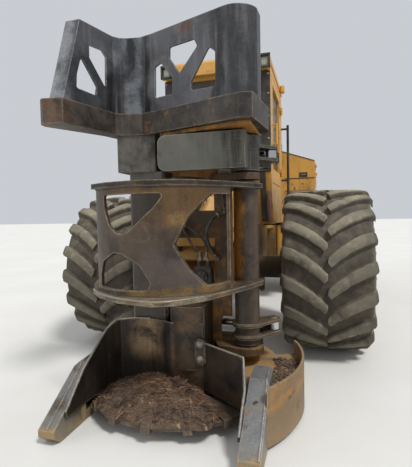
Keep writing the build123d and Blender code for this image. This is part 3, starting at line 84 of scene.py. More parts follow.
class Nodes:
    """A material's node tree, with short calls for the nodes used here."""

    def __init__(self, name):
        self.mat = bpy.data.materials.new(name)
        self.mat.use_nodes = True
        self.tree = self.mat.node_tree
        self.tree.nodes.clear()
        out = self.node("OutputMaterial")
        self.shader = self.node("BsdfPrincipled")
        self.fill(out, {0: self.shader.outputs[0]})
        self.coord = self.node("TexCoord").outputs["Object"]
        self.normal = self.node("NewGeometry").outputs["Normal"]
        self.wavy = None

    def fill(self, node, inputs):
        """Sets or links a node's inputs, given by name or place."""
        for key, value in inputs.items():
            if isinstance(value, bpy.types.NodeSocket):
                self.tree.links.new(value, node.inputs[key])
            else:
                node.inputs[key].default_value = value

    def node(self, kind, inputs=(), **settings):
        """A new node with its settings and inputs."""
        n = self.tree.nodes.new("ShaderNode" + kind)
        for key, value in settings.items():
            setattr(n, key, value)
        self.fill(n, dict(inputs))
        return n

    def noise_node(self, scale, detail, rough, stretch, offset, distortion):
        place = self.node("Mapping", {"Location": (offset, offset * 0.7, offset * 1.3), "Scale": stretch,
                                      "Vector": self.coord})
        return self.node("TexNoise", {"Scale": scale, "Detail": detail, "Roughness": rough,
                                      "Distortion": distortion, "Vector": place.outputs[0]})

    def noise(self, scale, detail=6, rough=0.6, stretch=(1, 1, 1), offset=0.0, distortion=0.0):
        return self.noise_node(scale, detail, rough, stretch, offset, distortion).outputs[0]

    def span(self, value, low, high, out_low=0.0, out_high=1.0):
        """A value's place between low and high, as a value between two others."""
        return self.node("MapRange", {"Value": value, "From Min": low, "From Max": high, "To Min": out_low,
                                      "To Max": out_high}).outputs[0]

    def math(self, kind, a, b=0.0, clamp=False):
        return self.node("Math", {0: a, 1: b}, operation=kind, use_clamp=clamp).outputs[0]

    def vector_math(self, kind, a, b):
        n = self.node("VectorMath", {0: a, 1: b}, operation=kind)
        return n.outputs["Value"] if kind == "DOT_PRODUCT" else n.outputs[0]

    def mix(self, factor, a, b):
        return self.node("Mix", {0: factor, 6: a, 7: b}, data_type="RGBA").outputs[2]

    def axis(self, vector, name):
        return self.node("SeparateXYZ", {0: vector}).outputs[name]

    def region(self, limits, soft):
        """High inside a box of the part's frame, with soft and uneven sides."""
        if self.wavy is None:
            cloud = self.noise_node(7, 5, 0.6, (1, 1, 1), 6.6, 0.3).outputs["Color"]
            shift = self.vector_math("SUBTRACT", cloud, (0.5, 0.5, 0.5))
            shift = self.vector_math("MULTIPLY", shift, (0.14, 0.14, 0.14))
            self.wavy = self.vector_math("ADD", self.coord, shift)
        mask = 1.0
        for name, (low, high) in limits.items():
            value = self.axis(self.wavy, name)
            mask = self.math("MULTIPLY", mask, self.span(value, low - soft, low + soft))
            mask = self.math("MULTIPLY", mask, self.span(value, high + soft, high - soft))
        return mask

    def wheel_radius(self):
        """The distance from the nearer axle's line."""
        y = self.math("SUBTRACT", self.axis(self.coord, "Y"), (AXLE_REAR + AXLE_FRONT) / 2)
        y = self.math("SUBTRACT", self.math("ABSOLUTE", y), (AXLE_REAR - AXLE_FRONT) / 2)
        z = self.math("SUBTRACT", self.axis(self.coord, "Z"), AXLE_Z)
        square = self.math("ADD", self.math("MULTIPLY", y, y), self.math("MULTIPLY", z, z))
        return self.math("SQRT", square)

    def rounded(self, radius):
        """The normal, with sharp edges rounded."""
        return self.node("Bevel", {"Radius": radius}, samples=4).outputs[0]

    def edge(self, radius):
        """High near a sharp edge, from the rounded normal against the true one."""
        dot = self.vector_math("DOT_PRODUCT", self.rounded(radius), self.normal)
        return self.span(self.math("SUBTRACT", 1.0, dot), 0.02, 0.25)

    def bump(self, height, strength, distance, **normal):
        inputs = {"Strength": strength, "Distance": distance, "Height": height, **normal}
        return self.node("Bump", inputs).outputs[0]


def toned(colour, share):
    """A shader colour made darker or lighter."""
    return tuple(min(1, c * share) for c in colour[:3]) + (1,)


# Tyre radii between which the painted shade of the grooves fades in over the sidewall and out below the lugs'
# tops
GROOVE_SHADE_IN = (0.70, 0.76)
GROOVE_SHADE_OUT = (0.836, 0.796)


def surface(name, base, patches=(), zones=(), tone=0.25, scale=3.0, edge=None, edge_amount=0.7,
            edge_radius=0.012, dust=None, dust_amount=0.5, dust_scale=4.0, dirt=None, dirt_height=None,
            streaks=None, streak_amount=0.5, rough=0.55, rough_spread=0.2, metal=0.0, bump=0.35,
            bump_scale=60.0, dents=0.25, round_edge=0.006, scratch=0.0, sheen=0.0, groove_shade=None):
    """A weathered surface, with painted light and painted shade in some zones and in a tyre's grooves. Each
    noise has its own offset, so that no two of them agree.

    Colours are red, green and blue from 0 to 255.
    patches: (colour, noise scale, threshold, softness)
    zones: (colour, {axis: (low, high)}, softness, amount, noise threshold), each a stain, a worn spot,
    painted light or painted shade
    dirt: a colour that fades out between the two heights of dirt_height
    groove_shade: the colour of painted shade between a tyre's lugs
    """
    n = Nodes(name)
    tone_noise = n.noise(scale, 8, 0.65, offset=3.1)
    dark = toned(srgb(*base), 1 - tone)
    light = toned(srgb(*base), 1 + tone)
    colour = n.mix(n.span(tone_noise, 0.3, 0.7), dark, light)
    fine = n.noise(scale * 14, 6, 0.7, offset=7.7)
    colour = n.mix(n.span(fine, 0.35, 0.75, 0, 0.35), colour, dark)
    rough_value = n.span(tone_noise, 0.25, 0.75, rough - rough_spread / 2, rough + rough_spread / 2)
    for i, (zone, limits, soft, amount, threshold) in enumerate(zones):
        zone_noise = n.noise(8, 9, 0.7, offset=15.1 + 3.3 * i, distortion=0.3)
        mask = n.math("MULTIPLY", n.region(limits, soft), n.span(zone_noise, threshold - 0.1, threshold + 0.1))
        uneven = n.mix(n.span(fine, 0.35, 0.65), srgb(*zone), toned(srgb(*zone), 0.62))
        colour = n.mix(n.math("MULTIPLY", mask, amount), colour, uneven)
    if scratch:
        across = n.noise(9, 4, 0.6, stretch=(1.0, 1.0, 14.0), offset=1.7)
        upright = n.noise(9, 4, 0.6, stretch=(14.0, 14.0, 0.8), offset=9.4)
        both = n.math("MAXIMUM", n.span(across, 0.56, 0.72), n.span(upright, 0.56, 0.72))
        colour = n.mix(n.math("MULTIPLY", both, scratch), colour, light)
    if streaks:
        run = n.noise(7, 5, 0.6, stretch=(3.2, 3.2, 0.28), offset=5.5)
        colour = n.mix(n.math("MULTIPLY", n.span(run, 0.5, 0.72), streak_amount), colour, srgb(*streaks))
    for i, (patch, patch_scale, threshold, soft) in enumerate(patches):
        spots = n.noise(patch_scale, 9, 0.68, offset=11.3 + 4.1 * i, distortion=0.4)
        colour = n.mix(n.span(spots, threshold, threshold + soft), colour, srgb(*patch))
    if edge:
        broken = n.span(n.noise(22, 7, 0.7, offset=2.2), 0.32, 0.62)
        wear = n.math("MULTIPLY", n.math("MULTIPLY", n.edge(edge_radius), broken), edge_amount, clamp=True)
        colour = n.mix(wear, colour, srgb(*edge))
    if dust:
        up = n.span(n.axis(n.normal, "Z"), 0.15, 0.95)
        cloud = n.span(n.noise(dust_scale, 8, 0.66, offset=8.8), 0.28, 0.66)
        film = n.span(n.noise(dust_scale * 2.3, 8, 0.7, offset=6.1), 0.42, 0.78, 0, 0.45)
        layer = n.math("MAXIMUM", n.math("MULTIPLY", up, cloud), film)
        layer = n.math("MULTIPLY", layer, dust_amount, clamp=True)
        colour = n.mix(layer, colour, srgb(*dust))
        rough_value = n.math("ADD", rough_value, n.math("MULTIPLY", layer, 0.3), clamp=True)
    # Painted shade between the tyre's lugs, patchy and laid over the dust
    if groove_shade:
        radius = n.wheel_radius()
        deep = n.math("MULTIPLY", n.span(radius, *GROOVE_SHADE_IN), n.span(radius, *GROOVE_SHADE_OUT))
        groove_shade_share = n.span(n.noise(9, 7, 0.7, offset=12.4), 0.25, 0.6, 0.30, 0.80)
        colour = n.mix(n.math("MULTIPLY", deep, groove_shade_share), colour, srgb(*groove_shade))
    if dirt:
        z = n.axis(n.coord, "Z")
        low = n.span(z, *dirt_height, 1, 0)
        cloud = n.span(n.noise(5, 9, 0.7, offset=4.9), 0.3, 0.6)
        colour = n.mix(n.math("MULTIPLY", low, cloud, clamp=True), colour, srgb(*dirt))
    coarse = n.noise(6, 5, 0.55, offset=0.9)
    grain = n.noise(bump_scale, 7, 0.7, offset=0.3)
    normal = n.bump(coarse, dents, 0.02, Normal=n.rounded(round_edge))
    normal = n.bump(grain, bump, 0.003, Normal=normal)
    n.fill(n.shader, {"Base Color": colour, "Roughness": rough_value, "Metallic": metal,
                      "Sheen Weight": sheen, "Normal": normal})
    return n.mat


RUST = (96, 58, 34)
DARK_RUST = (58, 38, 27)
SAND = (178, 158, 128)
MUD = (140, 118, 88)
OILY = (26, 23, 20)
WORN_PAINT = (112, 92, 70)

# What the carrier's panels share: old paint, stained brown and chipped down to rust
OLD_PAINT = {"tone": 0.16, "edge": WORN_PAINT, "dust": SAND, "streaks": (118, 86, 44), "rough": 0.5,
             "bump": 0.15, "dents": 0.12}
STAIN = (120, 86, 44)
CHIPS = (DARK_RUST, 16, 0.68, 0.05)
# The frame's low parts are painted near black, as painted shade
YELLOW = surface(
    "yellow_paint", (206, 150, 52), patches=((STAIN, 6, 0.62, 0.06), CHIPS),
    zones=(
        ((46, 38, 30), {"Z": (0.3, 1.22)}, 0.10, 0.85, 0.30),
        ((96, 74, 44), {"Z": (1.1, 1.7)}, 0.12, 0.50, 0.50),
    ),
    dust_amount=0.55, streak_amount=0.35, **OLD_PAINT)
TANK_YELLOW = surface(
    "tank_yellow", (206, 150, 52), patches=((STAIN, 6, 0.60, 0.08), CHIPS), dust_amount=0.6,
    streak_amount=0.4, dirt=MUD, dirt_height=(0.7, 1.1), **OLD_PAINT)
BOOM_YELLOW = surface(
    "boom_yellow", (214, 162, 84),
    patches=(((120, 86, 50), 6, 0.58, 0.08), (DARK_RUST, 14, 0.64, 0.06)), tone=0.16, edge=WORN_PAINT,
    dust=(206, 176, 132), dust_amount=0.7, rough=0.55, bump=0.2, dents=0.15)
# The axles' dark base colour is painted shade; the patches on it are stains and oil
AXLE_PAINT = surface(
    "axle_paint", (54, 44, 34), patches=(((132, 98, 48), 5, 0.62, 0.06), (OILY, 4, 0.52, 0.12)),
    edge=(96, 80, 60), dust=MUD, rough=0.65, bump=0.5, dents=0.3)
CAB_YELLOW = surface(
    "cab_yellow", (208, 154, 66),
    patches=((DARK_RUST, 14, 0.68, 0.05), ((150, 112, 58), 4, 0.56, 0.1)),
    zones=(((122, 96, 60), {"Y": (-1.3, 0.3), "Z": (1.2, 1.75)}, 0.12, 0.6, 0.45),), tone=0.14,
    edge=(110, 90, 66), edge_amount=0.9, dust=SAND, dust_amount=0.45, streaks=(128, 94, 48),
    streak_amount=0.4, rough=0.45, bump=0.12, dents=0.1)

# The head's paint and bare steel. Each zone stands at a place that the photo shows; most are stains or worn
# spots, and those noted are painted light and painted shade
HEAD_YELLOW = surface(
    "head_yellow", (158, 106, 34), patches=(((50, 38, 26), 3.5, 0.5, 0.12), (RUST, 9, 0.58, 0.06)),
    zones=(
        # Painted shade on the back plate behind the grab arm
        ((44, 35, 26), {"X": (-0.6, 0.6), "Y": (-2.60, -2.40), "Z": (0.50, 1.73)}, 0.03, 0.85, 0.36),
        ((56, 44, 32), {"X": (0.25, 0.80), "Z": (1.68, 1.79)}, 0.02, 0.85, 0.30),
        ((40, 34, 28), {"X": (0.25, 0.80), "Z": (0.37, 0.46)}, 0.02, 0.85, 0.30),
        ((196, 132, 40), {"X": (0.25, 0.50), "Z": (0.56, 0.90)}, 0.05, 0.60, 0.40),
    ),
    tone=0.3, edge=(126, 110, 88), dust=MUD, dust_amount=0.4, streaks=DARK_RUST, streak_amount=0.7,
    rough=0.6, bump=0.35, dents=0.35)
WING_STEEL = surface(
    "wing_steel", (78, 78, 81),
    patches=(((46, 46, 49), 2.4, 0.5, 0.16), ((84, 62, 46), 7, 0.68, 0.07)),
    zones=(
        # Painted shade on the right wing's round end, which faces away from the light, darkest where its bend
        # starts
        ((54, 54, 56), {"X": (0.50, 0.80)}, 0.05, 0.75, 0.30),
        ((14, 13, 13), {"X": (0.40, 0.50)}, 0.02, 0.90, 0.28),
        # Painted light on the pocket's lit back panel, then the painted shadow that the right wing casts on
        # it
        ((134, 138, 143), {"X": (-0.335, -0.22)}, 0.015, 0.80, 0.32),
        ((12, 11, 11), {"X": (-0.205, -0.13)}, 0.015, 0.92, 0.26),
        # Painted shade on the left bend into the pocket, which faces away from the light
        ((34, 33, 34), {"X": (-0.43, -0.35), "Z": (2.2, 2.54)}, 0.02, 0.85, 0.32),
        # Painted highlight along the left end's bend and its return, partly worn bare steel
        ((168, 170, 172), {"X": (-0.70, -0.515)}, 0.02, 0.65, 0.38),
        ((150, 148, 146), {"X": (-0.10, 0.05), "Z": (2.36, 2.62)}, 0.03, 0.50, 0.44),
        # Painted light on the top of the left bend, above its painted shade
        ((140, 141, 142), {"X": (-0.46, -0.36), "Z": (2.54, 2.72)}, 0.03, 0.55, 0.42),
        ((96, 62, 42), {"X": (0.12, 0.24), "Z": (2.75, 2.83)}, 0.03, 0.90, 0.35),
        ((30, 29, 30), {"X": (0.10, 0.34), "Z": (2.62, 2.74)}, 0.04, 0.60, 0.50),
    ),
    tone=0.3, scale=5, edge=(158, 156, 152), edge_amount=0.9, streaks=(112, 110, 110),
    rough=0.42, metal=0.45, bump=0.3, dents=0.4, scratch=0.35)
CROWN_STEEL = surface(
    "crown_steel", (72, 65, 59),
    patches=(((34, 30, 28), 4, 0.50, 0.12), ((104, 78, 58), 8, 0.58, 0.07)),
    zones=(
        ((42, 39, 36), {"X": (-0.10, 0.80)}, 0.08, 0.70, 0.40),
        ((108, 74, 50), {"X": (-0.75, -0.48), "Y": (-3.4, -3.18)}, 0.03, 0.70, 0.40),
    ),
    tone=0.35, scale=5, edge=(156, 144, 130), edge_amount=0.9, edge_radius=0.016, dust=SAND,
    dust_amount=0.25, streaks=OILY, streak_amount=0.4, rough=0.5, metal=0.3, bump=0.5, dents=0.5, scratch=0.3)
MAST_STEEL = surface(
    "mast_steel", (96, 92, 86),
    patches=(((56, 50, 45), 4, 0.52, 0.12), ((112, 90, 66), 8, 0.62, 0.06)),
    zones=(((58, 47, 36), {"Z": (0.2, 1.72)}, 0.06, 0.85, 0.30),), scale=5, edge=(158, 150, 138),
    edge_amount=0.8, streaks=(60, 52, 44), rough=0.5, metal=0.3, bump=0.4, dents=0.35, scratch=0.25)
PLATE_STEEL = surface(
    "plate_steel", (95, 94, 86),
    patches=(((74, 71, 63), 5, 0.56, 0.1), ((44, 40, 36), 9, 0.66, 0.06)),
    zones=(((48, 43, 38), {"X": (0.455, 0.9)}, 0.02, 0.85, 0.30),), tone=0.16, scale=6,
    edge=(158, 152, 138), edge_amount=0.9, edge_radius=0.016, streaks=(116, 112, 101), rough=0.48,
    metal=0.35, bump=0.3, dents=0.2, scratch=0.5)
ARM_STEEL = surface(
    "arm_steel", (72, 59, 47),
    patches=(((36, 29, 24), 3.2, 0.52, 0.14), ((92, 82, 74), 5, 0.60, 0.1),
             ((118, 86, 40), 8, 0.68, 0.05)),
    zones=(
        ((100, 71, 27), {"X": (-0.24, 0.44), "Z": (1.40, 1.70)}, 0.06, 0.80, 0.40),
        ((84, 73, 70), {"X": (-0.02, 0.36), "Z": (0.98, 1.24)}, 0.03, 0.75, 0.32),
        ((150, 116, 52), {"X": (-0.12, 0.52), "Z": (0.93, 1.00)}, 0.02, 0.75, 0.50),
        ((158, 146, 120), {"X": (-0.45, 0.44), "Y": (-3.45, -3.10), "Z": (0.925, 0.955)}, 0.012, 0.70,
         0.40),
        ((158, 108, 42), {"X": (0.44, 0.545), "Y": (-2.7, -2.4), "Z": (0.96, 1.75)}, 0.02, 0.85, 0.32),
        ((30, 25, 22), {"X": (0.535, 0.60), "Y": (-2.7, -2.4), "Z": (0.30, 1.75)}, 0.02, 0.60, 0.45),
        ((24, 20, 17), {"Z": (1.645, 1.72)}, 0.012, 0.85, 0.30),
        # Painted shadow that the crown casts on the web
        ((24, 20, 17), {"X": (0.15, 0.27), "Z": (1.17, 1.35)}, 0.03, 0.75, 0.36),
        # Painted light: a lit patch on the upper web's yellow paint
        ((146, 114, 64), {"X": (0.18, 0.30), "Z": (1.39, 1.47)}, 0.02, 0.60, 0.36),
    ),
    tone=0.3, scale=5, edge=(168, 154, 130), edge_amount=0.95, edge_radius=0.018, dust=MUD,
    dust_amount=0.3, streaks=OILY, streak_amount=0.35, rough=0.48, metal=0.3, bump=0.4, dents=0.35,
    scratch=0.25)
DARK_STEEL = surface(
    "dark_steel", (42, 34, 27),
    patches=(((22, 18, 15), 3.4, 0.5, 0.14), ((80, 64, 46), 7, 0.62, 0.08)),
    zones=(
        # Painted light on the throat's lit back plate, over its own tan streaks
        ((152, 126, 92), {"X": (-0.34, -0.10), "Z": (0.35, 0.66)}, 0.05, 0.85, 0.28),
        ((98, 76, 53), {"X": (0.0, 0.25), "Z": (0.1, 0.9)}, 0.03, 0.75, 0.44),
        ((74, 55, 40), {"X": (0.28, 0.65), "Z": (0.1, 0.55)}, 0.03, 0.60, 0.46),
    ),
    tone=0.3, scale=5, edge=(142, 130, 112), edge_amount=0.9, edge_radius=0.016,
    streaks=(70, 56, 41), rough=0.5, metal=0.25, bump=0.4, dents=0.3, scratch=0.2)
HORN_STEEL = surface(
    "horn_steel", (122, 114, 101),
    patches=(((84, 74, 62), 4, 0.54, 0.12), ((58, 49, 40), 10, 0.66, 0.06)),
    zones=(((172, 138, 88), {"Y": (-3.7, -3.462), "Z": (-0.2, 0.2)}, 0.008, 0.85, 0.30),
           ((128, 132, 136), {"X": (0.6, 0.9), "Z": (0.13, 0.5)}, 0.03, 0.70, 0.40),
           ((122, 125, 127), {"X": (-0.9, -0.5), "Z": (0.13, 0.5)}, 0.03, 0.60, 0.40)),
    tone=0.24, scale=5, edge=(190, 182, 166), edge_amount=0.9, edge_radius=0.016, rough=0.42, metal=0.35,
    bump=0.4, dents=0.5, scratch=0.4, dirt=(150, 128, 92), dirt_height=(0.02, 0.12))
POD_PAINT = surface(
    "pod_paint", (164, 114, 42),
    patches=(((118, 96, 70), 3.0, 0.46, 0.12), ((80, 60, 41), 7, 0.56, 0.08)),
    zones=(
        ((118, 99, 76), {"Z": (-0.2, 0.262)}, 0.03, 0.85, 0.36),
        ((104, 86, 64), {"X": (0.30, 1.1), "Z": (0.30, 0.5)}, 0.02, 0.70, 0.42),
        ((200, 136, 40), {"X": (0.40, 0.80), "Y": (-2.72, -2.35), "Z": (0.25, 0.5)}, 0.05, 0.60, 0.45),
    ),
    tone=0.2, edge=(168, 154, 128), edge_amount=0.95, dust=(148, 128, 98), dust_amount=0.8,
    dust_scale=3, rough=0.62, bump=0.5, dents=0.4, dirt=MUD, dirt_height=(0.02, 0.2))
SAW_STEEL = surface(
    "saw_steel", (92, 82, 70), patches=((RUST, 5, 0.54, 0.1), ((140, 120, 90), 6, 0.56, 0.1)),
    edge=(160, 150, 132), rough=0.5, metal=0.4, bump=0.4, dents=0.1, scratch=0.4)

# The carrier's other surfaces
BLACK_METAL = surface(
    "black_metal", (30, 29, 28), tone=0.3, edge=(104, 98, 90), edge_amount=0.5, dust=SAND,
    dust_amount=0.35, rough=0.5, bump=0.2, dents=0.05)
RIM_PAINT = surface(
    "rim_paint", (186, 132, 48), patches=((RUST, 9, 0.66, 0.06),), tone=0.2, edge=(110, 84, 60),
    dust=SAND, dust_amount=0.75, rough=0.55, bump=0.2, dents=0.1)
ENGINE_IRON = surface(
    "engine_iron", (62, 60, 56), patches=((OILY, 5, 0.55, 0.1),), tone=0.2, dust=SAND, dust_amount=0.3,
    rough=0.6, metal=0.2, bump=0.5, dents=0.3)
STACK_STEEL = surface(
    "stack_steel", (84, 62, 48), patches=(((48, 38, 34), 6, 0.52, 0.12),),
    edge=(120, 100, 84), rough=0.65, metal=0.2, bump=0.4, dents=0.1)
SEAT_FABRIC = surface(
    "seat_fabric", (34, 35, 38), tone=0.2, dust=SAND, dust_amount=0.25, rough=0.85, bump=0.6,
    bump_scale=260, dents=0.1, sheen=0.3)
CAB_PLASTIC = surface(
    "cab_plastic", (42, 42, 43), tone=0.15, dust=SAND, dust_amount=0.3, rough=0.7, bump=0.4,
    bump_scale=180, dents=0.0)
# Dusty tyre rubber, with painted shade in its grooves
TYRE = surface(
    "tyre_rubber", (106, 100, 86),
    patches=(((60, 55, 47), 4, 0.56, 0.14), ((150, 142, 122), 7, 0.58, 0.1)), scale=6,
    edge=(176, 168, 146), edge_amount=0.6, edge_radius=0.02, dust=(168, 158, 134), dust_amount=0.75,
    dust_scale=5, rough=0.82, bump=0.6, bump_scale=70, dents=0.35, round_edge=0.012, groove_shade=(46, 39, 31))
HOSE = surface(
    "hose_rubber", (48, 46, 43), dust=SAND, rough=0.6, bump=0.3, bump_scale=220, dents=0.0)
FITTING = surface(
    "fitting_steel", (132, 126, 112), tone=0.2, patches=((RUST, 12, 0.62, 0.08),),
    edge=(180, 174, 160), rough=0.4, metal=0.7, bump=0.2, dents=0.0)
CHROME = surface(
    "rod_chrome", (190, 190, 192), tone=0.06, dust=(130, 116, 96), dust_amount=0.35, rough=0.16,
    rough_spread=0.1, metal=1.0, bump=0.05, dents=0.0)
WELD = surface(
    "weld_bead", (64, 58, 52), tone=0.3, scale=20, edge=(120, 112, 100), rough=0.5, metal=0.4,
    bump=0.5, bump_scale=140, dents=0.0)
BARK = surface(
    "bark_and_soil", (90, 74, 60),
    patches=(((46, 37, 30), 12, 0.50, 0.12), ((156, 134, 104), 16, 0.58, 0.1),
             ((118, 82, 60), 8, 0.60, 0.1)),
    tone=0.4, scale=14, rough=0.95, rough_spread=0.05, bump=1.0, bump_scale=90, dents=0.8, round_edge=0.002)
STRAW = surface(
    "pine_straw", (130, 100, 76),
    patches=(((66, 48, 38), 9, 0.48, 0.1), ((188, 166, 132), 13, 0.56, 0.1)),
    tone=0.35, scale=20, rough=0.8, bump=0.3, dents=0.0, round_edge=0.0005)
SCUFFED = surface(
    "scuffed_strip", (120, 90, 86), patches=(((70, 52, 50), 9, 0.55, 0.1),), tone=0.2,
    edge=(150, 128, 116), dust=SAND, dust_amount=0.4, rough=0.6, bump=0.3, dents=0.1)
LENS = surface(
    "lamp_lens", (150, 156, 142), tone=0.1, dust=SAND, dust_amount=0.6, rough=0.2, bump=0.25,
    bump_scale=120, dents=0.0)
RED_LENS = surface(
    "tail_lens", (150, 34, 28), tone=0.1, dust=SAND, dust_amount=0.35, rough=0.25, bump=0.25,
    bump_scale=120, dents=0.0)


def glass_material():
    """Dusty tinted safety glass."""
    n = Nodes("window_glass")
    film = n.span(n.noise(3.5, 8, 0.7), 0.35, 0.75)
    n.fill(n.shader, {"Base Color": n.mix(film, srgb(52, 60, 60), srgb(120, 114, 100)),
                      "Roughness": n.span(film, 0, 1, 0.06, 0.45), "Alpha": n.span(film, 0, 1, 0.38, 0.72),
                      "IOR": 1.5})
    return n.mat


def core_material():
    """A finned radiator core: fine upright lines."""
    n = Nodes("core_metal")
    wave = n.node("TexWave", {"Scale": 60, "Vector": n.coord}, bands_direction="X").outputs[1]
    n.fill(n.shader, {"Base Color": n.mix(wave, srgb(20, 20, 20), srgb(66, 62, 56)), "Roughness": 0.6,
                      "Metallic": 0.4, "Normal": n.bump(wave, 0.6, 0.004)})
    return n.mat


GLASS = glass_material()
CORE = core_material()

node_looks = [
    (YELLOW, "front_frame rear_frame"),
    (AXLE_PAINT, "front_axle rear_axle"),
    (BOOM_YELLOW, "lift_boom"),
    (TANK_YELLOW, "bumper side_tanks"),
    (CAB_YELLOW, "cab_shell cab_roof cab_door hood engine_door_left engine_door_right"),
    (HEAD_YELLOW, "head_frame"),
    (WING_STEEL, "wings"),
    (CROWN_STEEL, "crown_beam"),
    (MAST_STEEL, "mast"),
    (PLATE_STEEL, "gather_arm"),
    (ARM_STEEL, "grab_arm"),
    (DARK_STEEL, "throat_walls"),
    (HORN_STEEL, "horns"),
    (POD_PAINT, "saw_housing"),
    (SAW_STEEL, "saw_disc"),
    (BLACK_METAL, "window_guards rear_grille access_steps lift_barrels tilt_barrel steer_barrel_left"
                  " steer_barrel_right grab_barrel gather_barrel saw_motor"),
    (CHROME, "lift_rods tilt_rod steer_rod_left steer_rod_right grab_rod gather_rod"),
    (TYRE, "tyre_front_left tyre_front_right tyre_rear_left tyre_rear_right"),
    (RIM_PAINT, "rim_front_left rim_front_right rim_rear_left rim_rear_right"),
    (GLASS, "cab_glass door_glass"),
    (SEAT_FABRIC, "seat"),
    (CAB_PLASTIC, "console"),
    (ENGINE_IRON, "engine_block"),
    (STACK_STEEL, "stacks"),
    (CORE, "radiator"),
]
for look, names in node_looks:
    for name in names.split():
        mesh = nodes[name].data
        mesh.materials.clear()
        mesh.materials.append(look)


# Mesh helpers
def new_piece(name, verts, faces, look, body, smooth_angle=38, slot=None, stands_for=()):
    """A mesh piece, placed in the part's frame at rest, that rides on a body."""
    mesh = bpy.data.meshes.new(name)
    mesh.from_pydata(verts, [], faces)
    mesh.validate()
    work = bmesh.new()
    work.from_mesh(mesh)
    bmesh.ops.recalc_face_normals(work, faces=work.faces)
    work.to_mesh(mesh)
    work.free()
    for f in mesh.polygons:
        f.use_smooth = True
    mesh.set_sharp_from_angle(angle=math.radians(smooth_angle))
    mesh.materials.append(look)
    piece = bpy.data.objects.new(name, mesh)
    scene.collection.objects.link(piece)
    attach(piece, body)
    if stands_for:
        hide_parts(*stands_for)
    return piece


def round_ring(centre, side, other, radius, sides):
    """A circle's points, in the plane of two crossing directions."""
    return [centre + side * (radius * math.cos(t)) + other * (radius * math.sin(t)) for t in turns(sides)]


class Shape:
    """Vertices and faces gathered from several simple forms into one mesh."""

    def __init__(self):
        self.verts, self.faces = [], []

    def rings(self, rings, closed=True, loop=False):
        """A skin over rings of equal count. Its ends are capped, or joined by loop."""
        start, size = len(self.verts), len(rings[0])
        for ring in rings:
            self.verts.extend(tuple(p) for p in ring)
        count = len(rings)
        for i in range(count if loop else count - 1):
            a, b = start + i * size, start + ((i + 1) % count) * size
            for k in range(size if closed else size - 1):
                m = (k + 1) % size
                self.faces.append((a + k, a + m, b + m, b + k))
        if not loop:
            self.faces.append(tuple(range(start, start + size)))
            self.faces.append(tuple(range(start + (count - 1) * size, start + count * size)))

    def box(self, low, high, bevel, turn=None):
        """A box between two corners, its edges cut by bevel, turned by a matrix if given."""
        low, high = [list(map(pick, low, high)) for pick in (min, max)]
        centre = Vector([(a + b) / 2 for a, b in zip(low, high)])
        half = [(b - a) / 2 for a, b in zip(low, high)]
        cut = min(bevel, min(half) * 0.6)
        rings = []
        for z, inset in ((-half[2], cut), (-half[2] + cut, 0), (half[2] - cut, 0), (half[2], cut)):
            x, y = half[0] - inset, half[1] - inset
            c = cut * 0.4 if inset else cut
            corners = [(x - c, -y), (x, -y + c), (x, y - c), (x - c, y), (-x + c, y), (-x, y - c),
                       (-x, -y + c), (-x + c, -y)]
            ring = [Vector((*corner, z)) for corner in corners]
            rings.append([(turn @ p if turn else p) + centre for p in ring])
        self.rings(rings)

    def rod(self, a, b, radius, sides=16, bevel=0.0):
        """A round bar from a to b, its ends chamfered by bevel."""
        a, b = Vector(a), Vector(b)
        way = (b - a).normalized()
        side = way.orthogonal().normalized()
        other = way.cross(side)
        stops = [(a, radius), (b, radius)]
        if bevel:
            stops = [(a, radius - bevel), (a + way * bevel, radius), (b - way * bevel, radius),
                     (b, radius - bevel)]
        self.rings([round_ring(c, side, other, r, sides) for c, r in stops])

    def tube(self, points, radius, sides=10, steps=8, swell=None):
        """A bent round tube along a smooth line; swell gives its size by the share of the way."""
        path = smooth_path(points, steps)
        rings, side = [], None
        for i, p in enumerate(path):
            ahead = path[min(i + 1, len(path) - 1)] - path[max(i - 1, 0)]
            ahead.normalize()
            side = ahead.orthogonal() if side is None else side - ahead * side.dot(ahead)
            side.normalize()
            other = ahead.cross(side)
            r = radius * (swell(i / (len(path) - 1)) if swell else 1)
            rings.append(round_ring(p, side, other, r, sides))
        self.rings(rings)

    def piece(self, name, look, body, **more):
        return new_piece(name, self.verts, self.faces, look, body, **more)


def smooth_path(points, steps, closed=False):
    """Points on a smooth line through the given ones."""
    pts = [Vector(p) for p in points]
    if closed:
        ends = [pts[-1]] + pts + pts[:2]
    else:
        ends = [pts[0] * 2 - pts[1]] + pts + [pts[-1] * 2 - pts[-2]]
    path = []
    for i in range(1, len(ends) - 2):
        a, b, c, d = ends[i - 1:i + 3]
        for k in range(steps):
            t = k / steps
            bend = (2 * a - 5 * b + 4 * c - d) * t * t + (3 * b - a - 3 * c + d) * t ** 3
            path.append(0.5 * ((2 * b) + (c - a) * t + bend))
    return path if closed else path + [pts[-1]]


def along(table, t):
    """The value at t in a table of (t, value ...) rows, straight between them."""
    for (t0, *v0), (t1, *v1) in zip(table, table[1:]):
        if t <= t1:
            k = (t - t0) / (t1 - t0)
            return [a + (b - a) * k for a, b in zip(v0, v1)]
    return list(table[-1][1:])


# Tyres
LUGS = 18
LUG_STATIONS = 20
# A lug goes round the tyre by this angle from the middle to its shoulder, ever less steeply
LUG_SWEEP = 0.34
LUG_CURVE = 0.45
# The radii at which a lug's slope and its width are measured
SLOPE_RADIUS = 0.80
WIDTH_RADIUS = 0.82
# Along a lug: (share, distance from the middle, top radius, root radius, width)
LUG_LINE = [
    (0.00, 0.004, 0.8490, 0.772, 0.078),
    (0.25, 0.110, 0.8485, 0.770, 0.090),
    (0.50, 0.220, 0.8430, 0.766, 0.100),
    (0.72, 0.320, 0.8340, 0.760, 0.108),
    (0.85, 0.385, 0.8230, 0.750, 0.112),
    (0.94, 0.421, 0.7920, 0.730, 0.106),
    (1.00, 0.429, 0.7400, 0.700, 0.090),
]
